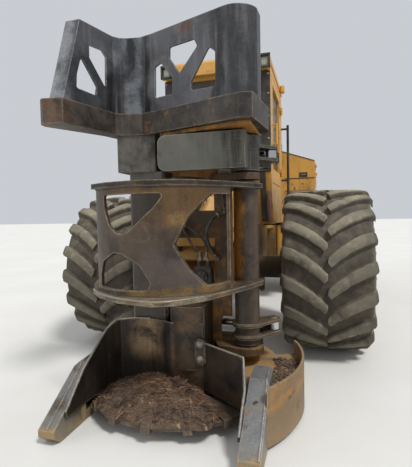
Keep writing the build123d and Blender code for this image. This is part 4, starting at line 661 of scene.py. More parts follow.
# The carcass from the bead over the shoulder to the middle: (half width, radius)
CARCASS = [
    (0.3812, 0.3566), (0.400, 0.372), (0.411, 0.40), (0.418, 0.405), (0.424, 0.47), (0.4265, 0.55),
    (0.4285, 0.556), (0.4285, 0.572), (0.4255, 0.58), (0.422, 0.64), (0.413, 0.70), (0.402, 0.735),
    (0.388, 0.755), (0.36, 0.766), (0.26, 0.776), (0.13, 0.782), (0.0, 0.784),
]
CARCASS_RINGS = 84
LUG_REACH = 0.43
LUG_TOP_CUT = 0.012
# Ribs of the sidewall: (radius, distance from the middle, half width)
SIDE_RIB = ((0.60, 0.4265, 0.010), (0.66, 0.4215, 0.012), (0.70, 0.4145, 0.010))
# A rib's section: (height over the sidewall, share of the half width)
RIB_SECTION = ((-0.006, -1), (0.0025, -0.4), (0.0025, 0.4), (-0.006, 1))


def lug_section(width, top, root):
    """A lug's section: (distance across, radius), from foot to foot."""
    waist = root + (top - root) * 0.5
    rise = [(width + 0.012, root), (width + 0.003, waist), (width, top - LUG_TOP_CUT),
            (width - LUG_TOP_CUT, top - 0.002)]
    return [(-across, radius) for across, radius in rise] + [(0, top)] + rise[::-1]


def make_tyre(corner, side, axle_y, seed):
    """A worn tyre with slanted lugs. The seed gives each tyre its own bites and chips."""
    centre = Vector((side * TRACK / 2, axle_y, AXLE_Z))
    shape = Shape()

    def on_tyre(u, radius, turn):
        return centre + Vector((u, -radius * math.cos(turn), radius * math.sin(turn)))

    profile = CARCASS + [(-u, r) for u, r in reversed(CARCASS[:-1])]
    rings = []
    for k, turn in enumerate(turns(CARCASS_RINGS)):
        rings.append([on_tyre(u, r + 0.004 * noise.noise(Vector((u * 9, k * 0.7, seed))), turn)
                      for u, r in profile])
    shape.rings(rings, closed=False, loop=True)
    pitch = 2 * math.pi / LUGS
    for half in (1, -1):
        for i in range(LUGS):
            start = i * pitch + (pitch / 2 if half > 0 else 0)
            rings = []
            for k in range(LUG_STATIONS + 1):
                t = k / LUG_STATIONS
                u, top, root, width = along(LUG_LINE, t)
                turn = start + LUG_SWEEP * ((1 + LUG_CURVE) * t - LUG_CURVE * t * t)
                key = Vector((i * 3.1 + seed, half * 5.0 + t * 4.5, seed))
                # Worn all along, chipped here and there and bitten deeper at a few places
                chip = abs(noise.noise(key * 1.7)) * 0.006
                bite = max(0.0, noise.noise(key * 2.9) - 0.32) * 0.05
                top -= 0.003 + chip + bite
                half_width = width / 2 * (1 + 0.10 * noise.noise(key * 2.3))
                slope = LUG_SWEEP * (1 + LUG_CURVE - 2 * LUG_CURVE * t) * SLOPE_RADIUS / LUG_REACH
                lean = math.hypot(1, slope)
                ring = []
                for s, radius in lug_section(half_width, top, root):
                    jag = 0.004 * noise.noise(Vector((s * 40, k * 0.6, i * 2.7 + seed + half)))
                    across = (s + jag) / lean
                    shift = across * slope * (0.6 if t > 0.8 else 1)
                    reach = min(max(u - shift, 0.0), LUG_REACH - 0.0005)
                    ring.append(on_tyre(half * reach, radius + jag * 0.5, turn + across / WIDTH_RADIUS))
                rings.append(ring)
            shape.rings(rings)
    # Low ribs of the sidewall, between the lug ends
    for half in (1, -1):
        for turn in turns(LUGS * 2):
            rings = []
            for radius, u, width in SIDE_RIB:
                rings.append([on_tyre(half * (u + out), radius, turn + share * width / radius)
                              for out, share in RIB_SECTION])
            shape.rings(rings)
    shape.piece(f"lugged_tyre_{corner}", TYRE, f"wheel_{corner}", slot="tyre_rubber",
                stands_for=(f"tyre_{corner}",))


RIM_FACE = TRACK / 2 + 0.046
NUT_CIRCLE = 0.262
HUB_FACE = RIM_FACE + 0.150
HUB_BOLT_CIRCLE = 0.165


def wheel_nuts(corner, side, axle_y):
    """Nuts with washers and studs on the rim's disc, and the hub cover's bolts."""
    def on_circle(face, radius, turn):
        return Vector((side * face, axle_y + radius * math.cos(turn), AXLE_Z + radius * math.sin(turn)))

    nuts = Shape()
    for turn in turns(16, math.pi / 16):
        p = on_circle(RIM_FACE, NUT_CIRCLE, turn)
        nuts.rod(p, p + along_x(side, 0.012), 0.024, 12, 0.002)
        nuts.rod(p + along_x(side, 0.010), p + along_x(side, 0.034), 0.017, 6, 0.003)
        nuts.rod(p + along_x(side, 0.032), p + along_x(side, 0.044), 0.009, 8)
    for turn in turns(8):
        p = on_circle(HUB_FACE, HUB_BOLT_CIRCLE, turn)
        nuts.rod(p - along_x(side, 0.004), p + along_x(side, 0.014), 0.014, 6, 0.002)
    nuts.piece(f"wheel_nuts_{corner}", STACK_STEEL, f"wheel_{corner}", slot="rim_paint")


for corner, side, axle_y, seed in (
        ("front_left", 1, AXLE_FRONT, 3.0), ("front_right", -1, AXLE_FRONT, 17.0),
        ("rear_left", 1, AXLE_REAR, 31.0), ("rear_right", -1, AXLE_REAR, 47.0)):
    make_tyre(corner, side, axle_y, seed)
    wheel_nuts(corner, side, axle_y)


# Debris on the saw: a heap of bark and soil under strewn pine straw, and crumbs on the pod's deck
DISC_TOP = 0.116
HEAP_PEAK = (-0.02, 1.84, 0.262)
HEAP_RIM = 0.142
STRAW_LOW = DISC_TOP + 0.024
# The heap's foot, as (x, ahead of the front axle)
HEAP_FOOT = [(-0.47, 1.86), (-0.40, 1.73), (-0.28, 1.64), (-0.12, 1.635), (0.02, 1.70), (0.17, 1.71),
             (0.28, 1.80), (0.37, 1.92), (0.43, 2.03), (0.46, 2.10), (0.38, 2.185), (0.21, 2.200),
             (0.05, 2.235), (-0.14, 2.195), (-0.30, 2.165), (-0.44, 2.03)]
# Lumps on it, coarse to fine: (size, rate)
HEAP_LUMPS = ((0.030, 7), (0.016, 21), (0.007, 58))
HEAP_RINGS = 16
HEAP_SIDES = 96
STRAW_COUNT = 1500
STRAW_RADIUS = (0.0010, 0.0020)
STRAW_LENGTH = (0.05, 0.12)
STRAW_TILT = (-0.25, 0.25)
STRAW_LIFT = (0.001, 0.010)
TWIG_COUNT = 60
TWIG_RADIUS = (0.003, 0.006)
CRUMB_COUNT = 520
# Crumbs lie in an arc round the saw's axis, in degrees and metres from it
CRUMB_ARC = (-40, 16)
CRUMB_REACH = (0.74, 0.92)
# A crumb's rings, as shares of its size: (height, radius)
CRUMB_LEVELS = ((-0.5, 0.7), (0.1, 1.0), (0.6, 0.5))


def heap_point(foot, share):
    """A point of the heap's top, from its peak (0) to its foot (1)."""
    peak = at(*HEAP_PEAK)
    p = peak.lerp(Vector((foot.x, foot.y, peak.z)), share)
    swell = (1 - share ** 2.2) ** 0.9
    lumps = sum(size * noise.noise(p * rate) for size, rate in HEAP_LUMPS)
    p.z = HEAP_RIM + (HEAP_PEAK[2] - HEAP_RIM) * swell + lumps * (0.35 + 0.65 * swell)
    return p


def debris_heap():
    """Bark and soil on the disc, strewn with pine straw and a few twigs."""
    foot = smooth_path([at(x, ahead, DISC_TOP) for x, ahead in HEAP_FOOT], HEAP_SIDES // len(HEAP_FOOT), True)
    heap = Shape()
    rings = [[heap_point(f, k / HEAP_RINGS) for f in foot] for k in range(1, HEAP_RINGS + 1)]
    ragged = [(f - at(*HEAP_PEAK)).normalized() * 0.02 * noise.noise(f * 16) for f in foot]
    heap.rings(rings + [[f + Vector((0, 0, 0.003)) + shift for f, shift in zip(foot, ragged)]])
    heap.piece("debris_heap", BARK, "head", slot="dark_steel", smooth_angle=80)
    draw = random.Random(11)
    straw = Shape()
    for i in range(STRAW_COUNT + TWIG_COUNT):
        twig = i >= STRAW_COUNT
        share = draw.random() ** 0.6 * 0.98
        middle = heap_point(foot[draw.randrange(len(foot))], share)
        turn = draw.uniform(0, math.pi)
        tilt = draw.uniform(*STRAW_TILT)
        length = draw.uniform(*STRAW_LENGTH)
        way = Vector((math.cos(turn), math.sin(turn), tilt)) * length / 2
        lift = Vector((0, 0, draw.uniform(*STRAW_LIFT)))
        bow = Vector((draw.uniform(-1, 1), draw.uniform(-1, 1), 0.6)) * 0.008
        ends = [middle - way + lift, middle + bow + lift, middle + way + lift]
        for p in ends:
            p.z = max(p.z, STRAW_LOW)
        radius = draw.uniform(*(TWIG_RADIUS if twig else STRAW_RADIUS))
        straw.tube(ends, radius, sides=6 if twig else 3, steps=2 if twig else 1)
    straw.piece("pine_straw", STRAW, "head", slot="dark_steel")


def deck_crumbs():
    """Bark crumbs and soil on the pod's deck, round the foot of the pin."""
    draw = random.Random(23)
    crumbs = Shape()
    for _ in range(CRUMB_COUNT):
        turn = math.radians(draw.uniform(*CRUMB_ARC))
        reach = draw.uniform(*CRUMB_REACH)
        size = 0.004 + 0.014 * draw.random() ** 2
        p = Vector((SAW[0] + reach * math.cos(turn), SAW[1] + reach * math.sin(turn), DECK_Z + size * 0.4))
        crumbs.rings([[p + Vector((size * r * draw.uniform(0.7, 1.3) * math.cos(t),
                                   size * r * draw.uniform(0.7, 1.3) * math.sin(t),
                                   size * h)) for t in turns(5)] for h, r in CRUMB_LEVELS])
    crumbs.piece("deck_crumbs", BARK, "head", slot="dark_steel", smooth_angle=20)


debris_heap()
deck_crumbs()


# Small parts of the felling head
def bolt(shape, foot, way, size):
    """A hexagonal head with its washer and thread end."""
    way = Vector(way).normalized()
    foot = Vector(foot)
    height = size * 0.7
    shape.rod(foot - way * 0.002, foot + way * size * 0.18, size * 1.25, 14)
    shape.rod(foot, foot + way * height, size, 6, size * 0.12)
    shape.rod(foot, foot + way * (height + size * 0.35), size * 0.5, 10, size * 0.1)


# Outline of the pad on the throat's post: (x, its way inward, height, its way inward)
POST_PAD = [(0.200, 1, 0.365, 1), (0.225, 1, 0.340, 1), (0.262, -1, 0.340, 1), (0.283, -1, 0.365, 1),
            (0.283, -1, 0.515, -1), (0.262, -1, 0.540, -1), (0.225, 1, 0.540, -1), (0.200, 1, 0.515, -1)]
POST_FACE = 1.680


def post_bracket():
    """The stepped pad with two bolts on the throat's post."""
    pad = Shape()
    for inset, thick in ((0, 0.024), (0.012, 0.030)):
        outline = [(x + x_way * inset, z + z_way * inset) for x, x_way, z, z_way in POST_PAD]
        pad.rings([[at(x, ahead, z) for x, z in outline] for ahead in (POST_FACE, POST_FACE + thick)])
    pad.piece("post_bracket", DARK_STEEL, "head", slot="dark_steel")
    bolts = Shape()
    for z in (0.385, 0.495):
        bolt(bolts, at(0.242, POST_FACE + 0.030, z), FORWARD, 0.021)
    bolts.piece("post_bolts", FITTING, "head", slot="worn_steel")


def hose(hoses, ends, points, radius):
    """A hose held at both ends, each with its crimped sleeve and nut."""
    points = [at(*p) for p in points]
    path = smooth_path(points, 10)
    hoses.tube(points, radius, 12, 10)
    for tip, inner in ((path[0], path[4]), (path[-1], path[-5])):
        way = (inner - tip).normalized()
        ends.rod(tip - way * 0.012, tip + way * 0.016, radius * 1.7, 6, radius * 0.2)
        ends.rod(tip + way * 0.014, tip + way * 0.060, radius * 1.3, 14, radius * 0.2)


# Head hoses, as (x, ahead, z) points and the radius
HEAD_HOSES = [
    ([(-0.045, 1.42, 1.725), (-0.035, 1.50, 1.738), (0.03, 1.575, 1.742), (0.12, 1.56, 1.742),
      (0.18, 1.49, 1.738), (0.205, 1.42, 1.725)], 0.012),
    ([(0.352, 1.405, 1.470), (0.330, 1.440, 1.455), (0.281, 1.455, 1.414), (0.240, 1.460, 1.319),
      (0.252, 1.455, 1.224), (0.290, 1.440, 1.150), (0.320, 1.405, 1.100)], 0.014),
    ([(0.030, 1.405, 1.395), (0.055, 1.440, 1.372), (0.155, 1.452, 1.312), (0.215, 1.450, 1.250),
      (0.232, 1.440, 1.180), (0.225, 1.430, 1.105)], 0.010),
    ([(0.030, 1.405, 1.345), (0.060, 1.438, 1.300), (0.118, 1.450, 1.215), (0.170, 1.440, 1.150),
      (0.180, 1.430, 1.105)], 0.010),
    ([(0.300, 1.405, 1.640), (0.330, 1.440, 1.640), (0.372, 1.450, 1.600), (0.385, 1.440, 1.520),
      (0.375, 1.405, 1.470)], 0.010),
]
VALVE_X = 0.202
VALVE_Z = 0.965
VALVE_PORTS = (0.165, 0.240)


def head_hoses():
    """The hoses between the head's valve and its cylinders, and the valve on the lower window's sill."""
    hoses, ends = Shape(), Shape()
    for points, radius in HEAD_HOSES:
        hose(hoses, ends, points, radius)
    block = Shape()
    block.box(at(0.13, 1.385, 0.885), at(0.275, 1.470, 1.045), 0.012)
    for x in VALVE_PORTS:
        block.rod(at(x, 1.43, 1.04), at(x, 1.43, 1.085), 0.020, 14, 0.004)
    block.rod(at(VALVE_X, 1.465, VALVE_Z), at(VALVE_X, 1.500, VALVE_Z), 0.048, 22, 0.008)
    block.rod(at(VALVE_X, 1.495, VALVE_Z), at(VALVE_X, 1.512, VALVE_Z), 0.030, 18, 0.006)
    block.piece("head_valve", BLACK_METAL, "head", slot="dark_steel")
    for turn in turns(6):
        foot = at(VALVE_X + 0.038 * math.cos(turn), 1.499, VALVE_Z + 0.038 * math.sin(turn))
        bolt(ends, foot, FORWARD, 0.005)
    for x in VALVE_PORTS:
        ends.rod(at(x, 1.43, 1.078), at(x, 1.43, 1.112), 0.013, 6, 0.002)
    hoses.piece("head_hoses", HOSE, "head", slot="dark_steel")
    ends.piece("head_hose_ends", FITTING, "head", slot="worn_steel")


def bead(shape, points, radius=0.006, closed=False):
    """A weld bead, rippled along its run."""
    if closed:
        points = points + points[:1]
    length = sum((Vector(b) - Vector(a)).length for a, b in zip(points, points[1:]))
    ripples = length / 0.012
    steps = max(2, int(length / 0.006 / len(points)))
    shape.tube(points, radius, 7, steps, lambda t: 1 + 0.16 * math.sin(2 * math.pi * ripples * t))


def arc(centre, radius, z, angles):
    """Points at some angles round an upright axis."""
    return [Vector((centre[0] + radius * math.cos(a), centre[1] + radius * math.sin(a), z)) for a in angles]


WEB_CENTRE = (0.0, AXLE_FRONT - 1.68)
WEB_RADII = (0.518, 0.482)
WEB_ARC = [math.radians(219 + 126 * k / 40) for k in range(41)]
TUBE_RADIUS = 0.095
# Where the arm's flanges and the tube's collar are welded on
FLANGE_WELDS = (0.949, 1.647)
COLLAR_WELD = 0.913


def arm_welds():
    """Beads round the grab arm's tube and on both sides of its bent web."""
    arm = Shape()
    for z in (*FLANGE_WELDS, COLLAR_WELD):
        bead(arm, arc(ARM_AXIS, TUBE_RADIUS + 0.003, z, turns(28)), closed=True)
    for z in FLANGE_WELDS:
        for radius in WEB_RADII:
            bead(arm, arc(WEB_CENTRE, radius, z, WEB_ARC))
    arm.piece("arm_welds", WELD, "grab_arm", slot="dark_steel")


# The wings' foot on the crown's top: the curved run and the bent right end, as (x, ahead)
WINGS_FOOT = [(-0.40, 1.69), (-0.355, 1.642), (-0.30, 1.620), (-0.21, 1.602), (-0.105, 1.628), (0.2, 1.740),
              (0.497, 1.852)]
WING_END_FOOT = [(-0.522, 2.13), (-0.47, 1.93), (-0.412, 1.705)]
CROWN_TOP = 2.246


def head_welds():
    """Beads down the mast and the throat's post, and along the wings' foot."""
    head = Shape()
    for x in (-0.36, -0.06):
        bead(head, [at(x, 1.41, z) for z in (0.32, 0.8, 1.3, 1.78)])
    for x in (0.0, 0.262):
        bead(head, [at(x, 1.655, z) for z in (0.31, 0.45, 0.6, 0.755)], 0.005)
    bead(head, [at(x, ahead, CROWN_TOP) for x, ahead in WINGS_FOOT])
    bead(head, [at(x, ahead, CROWN_TOP + 0.001) for x, ahead in WING_END_FOOT])
    head.piece("head_welds", WELD, "head", slot="dark_steel")


def worn_edge(shape, points, radius, sides, steps, swing, waves, seed):
    """A rolled lip along an edge, thicker and thinner by a share of its radius."""
    shape.tube([at(*p) for p in points], radius, sides, steps,
               lambda t: 1 + swing * noise.noise(Vector((t * waves, seed, 0))))


# The lower flange's front edge, as (x, ahead)
FLANGE_EDGE = [(-0.445, 2.004), (-0.330, 2.126), (-0.120, 2.254), (0.130, 2.313), (0.268, 2.248),
               (0.397, 2.104)]
FLANGE_EDGE_Z = 0.946


def flange_wear():
    """The rolled lip that wear has left along the lower flange's front edge."""
    lip = Shape()
    worn_edge(lip, [(*p, FLANGE_EDGE_Z) for p in FLANGE_EDGE], 0.007, 10, 14, 0.12, 40, 1.5)
    lip.piece("flange_lip", HORN_STEEL, "grab_arm", slot="worn_steel")


MID_BRACKET_TOP = 1.765
FOOT_BRACKET_TOP = 0.440


def pin_cap():
    """The collar round the arms' pin on the middle bracket, and the bolts on the foot bracket."""
    cap = Shape()
    cap.rod((*ARM_AXIS, MID_BRACKET_TOP), (*ARM_AXIS, MID_BRACKET_TOP + 0.011), 0.085, 28, 0.004)
    for p in arc(ARM_AXIS, 0.066, FOOT_BRACKET_TOP, turns(6)):
        cap.rod(p, p + Vector((0, 0, 0.010)), 0.011, 6, 0.002)
    cap.piece("pin_collar", DARK_STEEL, "head", slot="dark_steel")


def horn_ridges():
    """Weld beads along the horns' tops and across the right one."""
    ridges = Shape()
    for x, lean in ((-0.582, -0.008), (0.772, -0.003)):
        bead(ridges, [at(x, 2.392, 0.111), at(x, 2.2, 0.2345), at(x + lean, 2.0, 0.364),
                      at(x + 2 * lean, 1.955, 0.389), at(x + 3 * lean, 1.80, 0.397)], 0.007)
    across = [(-0.53, 2.14, 0.20), (-0.56, 2.15, 0.245), (-0.60, 2.16, 0.246), (-0.63, 2.17, 0.20)]
    bead(ridges, [at(*p) for p in across], 0.007)
    ridges.piece("horn_ridges", HORN_STEEL, "head", slot="worn_steel")


# The free edges of the throat's left and right plates, as (x, ahead, height)
THROAT_EDGES = (
    [(0.285, 1.700, 0.505), (0.44, 1.806, 0.505), (0.588, 1.905, 0.505), (0.606, 1.921, 0.500),
     (0.618, 1.968, 0.452), (0.642, 2.078, 0.362), (0.6425, 2.154, 0.301), (0.643, 2.225, 0.233),
     (0.643, 2.288, 0.172)],
    [(-0.20, 1.602, 0.641), (-0.33, 1.611, 0.641), (-0.43, 1.672, 0.641), (-0.446, 1.70, 0.639),
     (-0.463, 1.755, 0.620), (-0.482, 1.81, 0.583), (-0.507, 2.045, 0.412), (-0.5125, 2.10, 0.363),
     (-0.513, 2.288, 0.183)],
)


def throat_rims():
    """The plates' free edges, worn bright and rolled over by the stems."""
    rims = Shape()
    for edge in THROAT_EDGES:
        worn_edge(rims, edge, 0.0075, 8, 5, 0.15, 30, 4.5)
    rims.piece("throat_rims", HORN_STEEL, "head", slot="worn_steel")


post_bracket()
throat_rims()
head_hoses()
arm_welds()
head_welds()
flange_wear()
pin_cap()
horn_ridges()


# Guard over the tilt cylinder: a channel plate with two straps
TILT_BASE = at(0, 0.50, 1.82)
TILT_EYE = at(0, 1.29, 1.38)


def channel(outer, inner):
    """A channel's section, from the right half of its outer and of its inner face."""
    def both(half):
        return [(-across, out) for across, out in half] + half[::-1]

    return both(outer) + both(inner)[::-1]


# Sections over the cylinder, as (across, out)
GUARD_PLATE = channel([(0.098, 0.010), (0.104, 0.016), (0.104, 0.074), (0.088, 0.090)],
                      [(0.096, 0.016), (0.096, 0.071), (0.085, 0.082)])
GUARD_STRAP = channel([(0.106, 0.012), (0.106, 0.075), (0.089, 0.094)],
                      [(0.103, 0.012), (0.103, 0.073), (0.087, 0.089)])


def run_and_over(a, b):
    """The direction from a to b, and the one that stands over it."""
    way = (b - a).normalized()
    over = Vector((1, 0, 0)).cross(way)
    return way, -over if over.z < 0 else over


def tilt_guard():
    """The plate over the tilt cylinder and its straps, which ride on the barrel."""
    way, over = run_and_over(TILT_BASE, TILT_EYE)

    def cuts(section, runs):
        return [[TILT_BASE + along_x(1, x) + over * out + way * run for x, out in section] for run in runs]

    plate, straps = Shape(), Shape()
    plate.rings(cuts(GUARD_PLATE, (0.12, 0.20, 0.40, 0.58, 0.60)))
    plate.piece("tilt_guard", BOOM_YELLOW, "tilt_barrel", slot="yellow_paint")
    for run in (0.22, 0.50):
        straps.rings(cuts(GUARD_STRAP, (run, run + 0.035)))
    straps.piece("tilt_guard_straps", BLACK_METAL, "tilt_barrel", slot="barrel_paint")


tilt_guard()


# Cab: black frame round the windscreen, work lamps, handles and the driver's seat
CAB_FRONT = 0.10
FASCIA_FRONT = 0.20
FRAME_FACE = CAB_FRONT + 0.030
FRAME_HALF = 0.602
FRAME_FOOT = 1.905


def windscreen_frame():
    """Bolted posts beside the windscreen with the sill under it."""
    bars, bolts = Shape(), Shape()
    for side in (1, -1):
        bars.box(at(side * 0.506, FRAME_FACE, 1.93), at(side * FRAME_HALF, CAB_FRONT, 2.985), 0.008)
        bars.box(at(side * 0.470, CAB_FRONT + 0.012, FRAME_FOOT), at(side * 0.545, CAB_FRONT - 0.002, 1.945),
                 0.004)
        for z in (2.02, 2.26, 2.50, 2.74, 2.95):
            bolt(bolts, at(side * 0.580, FRAME_FACE, z), FORWARD, 0.010)
    bars.box(at(-FRAME_HALF, FRAME_FACE, FRAME_FOOT), at(FRAME_HALF, CAB_FRONT, 1.955), 0.008)
    bars.piece("windscreen_frame", BLACK_METAL, "front_chassis", slot="barrel_paint")
    bolts.piece("windscreen_frame_bolts", FITTING, "front_chassis", slot="worn_steel")


# The lamps in the roof's fascia: middle and half size, across and in height
LAMP_X, LAMP_Z = 0.550, 3.0575
LAMP_HALF, LAMP_TALL = 0.050, 0.0525
LAMP_EDGE = LAMP_HALF + 0.014
# A lens from its edge to its face: (depth behind the fascia, inset)
LENS_STEPS = ((0.026, 0.006), (0.010, 0.006), (0.004, 0.014), (0.000, 0.030))
# The bars of a lamp's frame, from corner to corner: (across, height, across, height)
LAMP_BARS = ((-LAMP_EDGE, -LAMP_TALL - 0.022, LAMP_EDGE, -LAMP_TALL),
             (-LAMP_EDGE, LAMP_TALL, LAMP_EDGE, LAMP_TALL + 0.022),
             (-LAMP_EDGE, -LAMP_TALL - 0.020, 0.004 - LAMP_HALF, LAMP_TALL + 0.020),
             (LAMP_HALF - 0.004, -LAMP_TALL - 0.020, LAMP_EDGE, LAMP_TALL + 0.020))


def work_lamps():
    """The lamps in the roof's fascia with their frames, and a lamp on each side of the roof."""
    frames, lenses, sides = Shape(), Shape(), Shape()
    for side in (1, -1):
        x = side * LAMP_X
        for x0, z0, x1, z1 in LAMP_BARS:
            frames.box(at(x + x0, FASCIA_FRONT + 0.022, LAMP_Z + z0),
                       at(x + x1, FASCIA_FRONT - 0.002, LAMP_Z + z1), 0.003)
        lenses.rings([[at(x + i * (LAMP_HALF - inset), FASCIA_FRONT - depth, LAMP_Z + j * (LAMP_TALL - inset))
                       for i, j in CORNERS] for depth, inset in LENS_STEPS])
        foot = at(side * 0.612, -0.95, 3.075)
        sides.box(foot - Vector((0, 0.045, 0.040)), foot + Vector((side * 0.055, 0.045, 0.055)), 0.012)
        stem = foot - Vector((0, 0, 0.03))
        sides.rod(stem, stem - along_x(side, 0.014), 0.012, 10, 0.002)
    frames.piece("lamp_frames", BLACK_METAL, "front_chassis", slot="barrel_paint")
    lenses.piece("work_lamp_lenses", LENS, "front_chassis", slot="window_glass")
    sides.piece("roof_side_lamps", CAB_YELLOW, "front_chassis", slot="yellow_paint")


# The door's grip, as (out from the door's face, height)
GRIP = ((-0.022, 2.02), (-0.002, 2.03), (-0.001, 2.08), (-0.002, 2.13), (-0.022, 2.14))


def cab_trim():
    """Dark cable cover and scuffed strip on the cab's front, and the door's handle."""
    trim, strip = Shape(), Shape()
    # The toe panel falls back from the windscreen's foot, as (ahead, height)
    for shape, x0, x1, rows in ((trim, 0.472, 0.536, ((0.100, 1.905), (-0.052, 1.362))),
                                (strip, 0.546, 0.578, ((0.046, 1.705), (-0.052, 1.362)))):
        section = ((x0, -0.006), (x1, -0.006), (x1, 0.012), (x1 - 0.006, 0.018), (x0 + 0.006, 0.018),
                   (x0, 0.012))
        shape.rings([[at(x, ahead + out, z) for x, out in section] for ahead, z in rows])
    trim.piece("cable_cover", BLACK_METAL, "front_chassis", slot="barrel_paint")
    strip.piece("scuffed_strip", SCUFFED, "front_chassis", slot="yellow_paint")
    handle = Shape()
    low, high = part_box("cab_door")
    x, y = high[0], low[1] + 0.09
    handle.box((x - 0.030, y - 0.035, 2.00), (x - 0.018, y + 0.035, 2.16), 0.006)
    handle.tube([(x + out, y, z) for out, z in GRIP], 0.008, 10, 6)
    handle.piece("door_handle", BLACK_METAL, "door", slot="barrel_paint")


SEAT_Y = AXLE_FRONT + 0.64
CUSHION_Z = 1.768
PAD_SIDES, PAD_LEVELS = 64, 26
PAD_CROWN = 0.18
CHANNEL_DEPTH, CHANNEL_WIDTH = 0.10, 0.035
# The bellows under the seat, from the floor up: (height, half width)
BELLOWS = ((1.381, 0.15), (1.42, 0.15), (1.45, 0.13), (1.48, 0.15), (1.51, 0.13), (1.54, 0.15), (1.57, 0.13),
           (1.60, 0.15), (1.63, 0.13), (1.66, 0.15), (1.70, 0.19), (1.722, 0.20))


def boxy(value, power):
    """A sine or cosine raised to a power under 1, which makes a round form boxy."""
    return math.copysign(abs(value) ** power, value)


def pad(name, middle, half, lean, axis, channels, **more):
    """A padded piece with soft corners, a crowned face and channels, each at a place on one axis."""
    turn = Matrix.Rotation(lean, 3, "X")
    rings = []
    for i in range(1, PAD_LEVELS):
        rise = math.pi * (i / PAD_LEVELS - 0.5)
        reach = boxy(math.cos(rise), 0.32)
        height = boxy(math.sin(rise), 0.55)
        ring = []
        for t in turns(PAD_SIDES):
            x = boxy(math.cos(t), 0.36) * reach
            y = boxy(math.sin(t), 0.36) * reach
            z = height * (1 + PAD_CROWN * (1 - x * x) * (1 - y * y))
            if height > 0:
                for c in channels:
                    z -= CHANNEL_DEPTH * math.exp(-(((x, y)[axis] - c) / CHANNEL_WIDTH) ** 2)
            ring.append(turn @ Vector((x * half[0], y * half[1], z * half[2])) + middle)
        rings.append(ring)
    shape = Shape()
    shape.rings(rings)
    piece = shape.piece(name, SEAT_FABRIC, "front_chassis", slot="seat_fabric", smooth_angle=60, **more)


def driver_seat():
    """Cushion and back of the seat, and the bellows and bracket that carry them."""
    pad("seat_cushion", Vector((0, SEAT_Y - 0.005, CUSHION_Z)), (0.258, 0.262, 0.052), 0.0, 0,
        (-0.45, 0.45), stands_for=("seat",))
    pad("seat_back", Vector((0, SEAT_Y + 0.275, 2.165)), (0.238, 0.335, 0.050), math.radians(82), 1,
        (-0.35, 0.05, 0.45))
    base = Shape()
    base.rings([[Vector((i * w, SEAT_Y + j * w, z)) for i, j in CORNERS] for z, w in BELLOWS])
    base.box((-0.05, SEAT_Y + 0.20, 1.70), (0.05, SEAT_Y + 0.33, 1.74), 0.008)
    base.box((-0.04, SEAT_Y + 0.29, 1.71), (0.04, SEAT_Y + 0.325, 2.0), 0.008)
    base.piece("seat_base", CAB_PLASTIC, "front_chassis", slot="cab_plastic")


windscreen_frame()
work_lamps()
cab_trim()
driver_seat()


# Engine house: seams, latch recesses and bolts on its front, lamps at the tail
HOOD_FRONT_Y = HITCH + 0.4
SEAM_Z = 1.99
# Seam, latch recess and catch on each side of the front: (near, far, low, high, bevel)
HOOD_BOXES = ((0.580, 1.036, SEAM_Z - 0.007, SEAM_Z + 0.007, 0.002),
              (0.800, 0.925, SEAM_Z + 0.016, SEAM_Z + 0.092, 0.004),
              (0.724, 0.736, 1.802, 1.850, 0.002))
# The folded lip along the sloping top edge, as (across, height)
HOOD_LIP = ((0.49, 2.447), (1.036, 2.262), (1.036, 2.250), (0.49, 2.435))


def hood_trim():
    """Seam, folded lip, latch recess with its pull and bolts, on both sides of the front."""
    trim, bolts = Shape(), Shape()
    y = HOOD_FRONT_Y
    for side in (1, -1):
        for near, far, low, high, bevel in HOOD_BOXES:
            trim.box((side * near, y - 0.005, low), (side * far, y + 0.002, high), bevel)
        trim.rings([[Vector((side * x, depth, z)) for x, z in HOOD_LIP] for depth in (y - 0.006, y + 0.002)])
        bolts.box((side * 0.830, y - 0.012, SEAM_Z + 0.045), (side * 0.895, y - 0.003, SEAM_Z + 0.062), 0.003)
        for x in (0.695, 0.853):
            bolt(bolts, (side * x, y, 1.908), FORWARD, 0.011)
    trim.piece("hood_trim", BLACK_METAL, "rear_chassis", slot="barrel_paint")
    bolts.piece("hood_bolts", FITTING, "rear_chassis", slot="worn_steel")


TAIL_Y = AXLE_REAR + 1.35


def tail_lamps():
    """A housing with two round red lamps on each side of the tail."""
    lamps, housings = Shape(), Shape()
    for side in (1, -1):
        middle = Vector((side * 0.80, TAIL_Y, 1.10))
        housings.box(middle - Vector((0.075, 0.030, 0.045)), middle + Vector((0.075, -0.012, 0.045)), 0.008)
        for x in (-0.036, 0.036):
            face = middle + along_x(1, x)
            lamps.rod(face - Vector((0, 0.014, 0)), face - Vector((0, 0.002, 0)), 0.030, 22, 0.006)
    housings.piece("tail_lamp_housings", BLACK_METAL, "rear_chassis", slot="barrel_paint")
    lamps.piece("tail_lamps", RED_LENS, "rear_chassis", slot="window_glass")


EXHAUST = (-0.3, AXLE_REAR - 0.1)
EXHAUST_TOP = 2.87
FLAP_RADIUS = 0.078
FLAP_SLOPE = 0.35
PRECLEANER = (0.28, AXLE_REAR + 0.26)


def stack_details():
    """Rain flap with its hinge and clamps on the exhaust, bands on the precleaner."""
    x, y = EXHAUST
    parts = Shape()
    for z in (EXHAUST_TOP - 0.36, EXHAUST_TOP - 0.06):
        parts.rod((x, y, z), (x, y, z + 0.022), 0.0745, 28, 0.004)
    flap = arc(EXHAUST, FLAP_RADIUS, EXHAUST_TOP + 0.006, turns(26))
    parts.rings([[p + Vector((0, 0, h + FLAP_SLOPE * (p.y - y + FLAP_RADIUS))) for p in flap]
                 for h in (0, 0.005)])
    hinge = Vector((x, y - 0.080, EXHAUST_TOP + 0.004))
    parts.rod(hinge - along_x(1, 0.03), hinge + along_x(1, 0.03), 0.009, 10, 0.002)
    for z in (2.63, 2.75):
        parts.rod((*PRECLEANER, z), (*PRECLEANER, z + 0.014), 0.1335, 30, 0.003)
    parts.piece("stack_details", STACK_STEEL, "rear_chassis", slot="stack_steel")


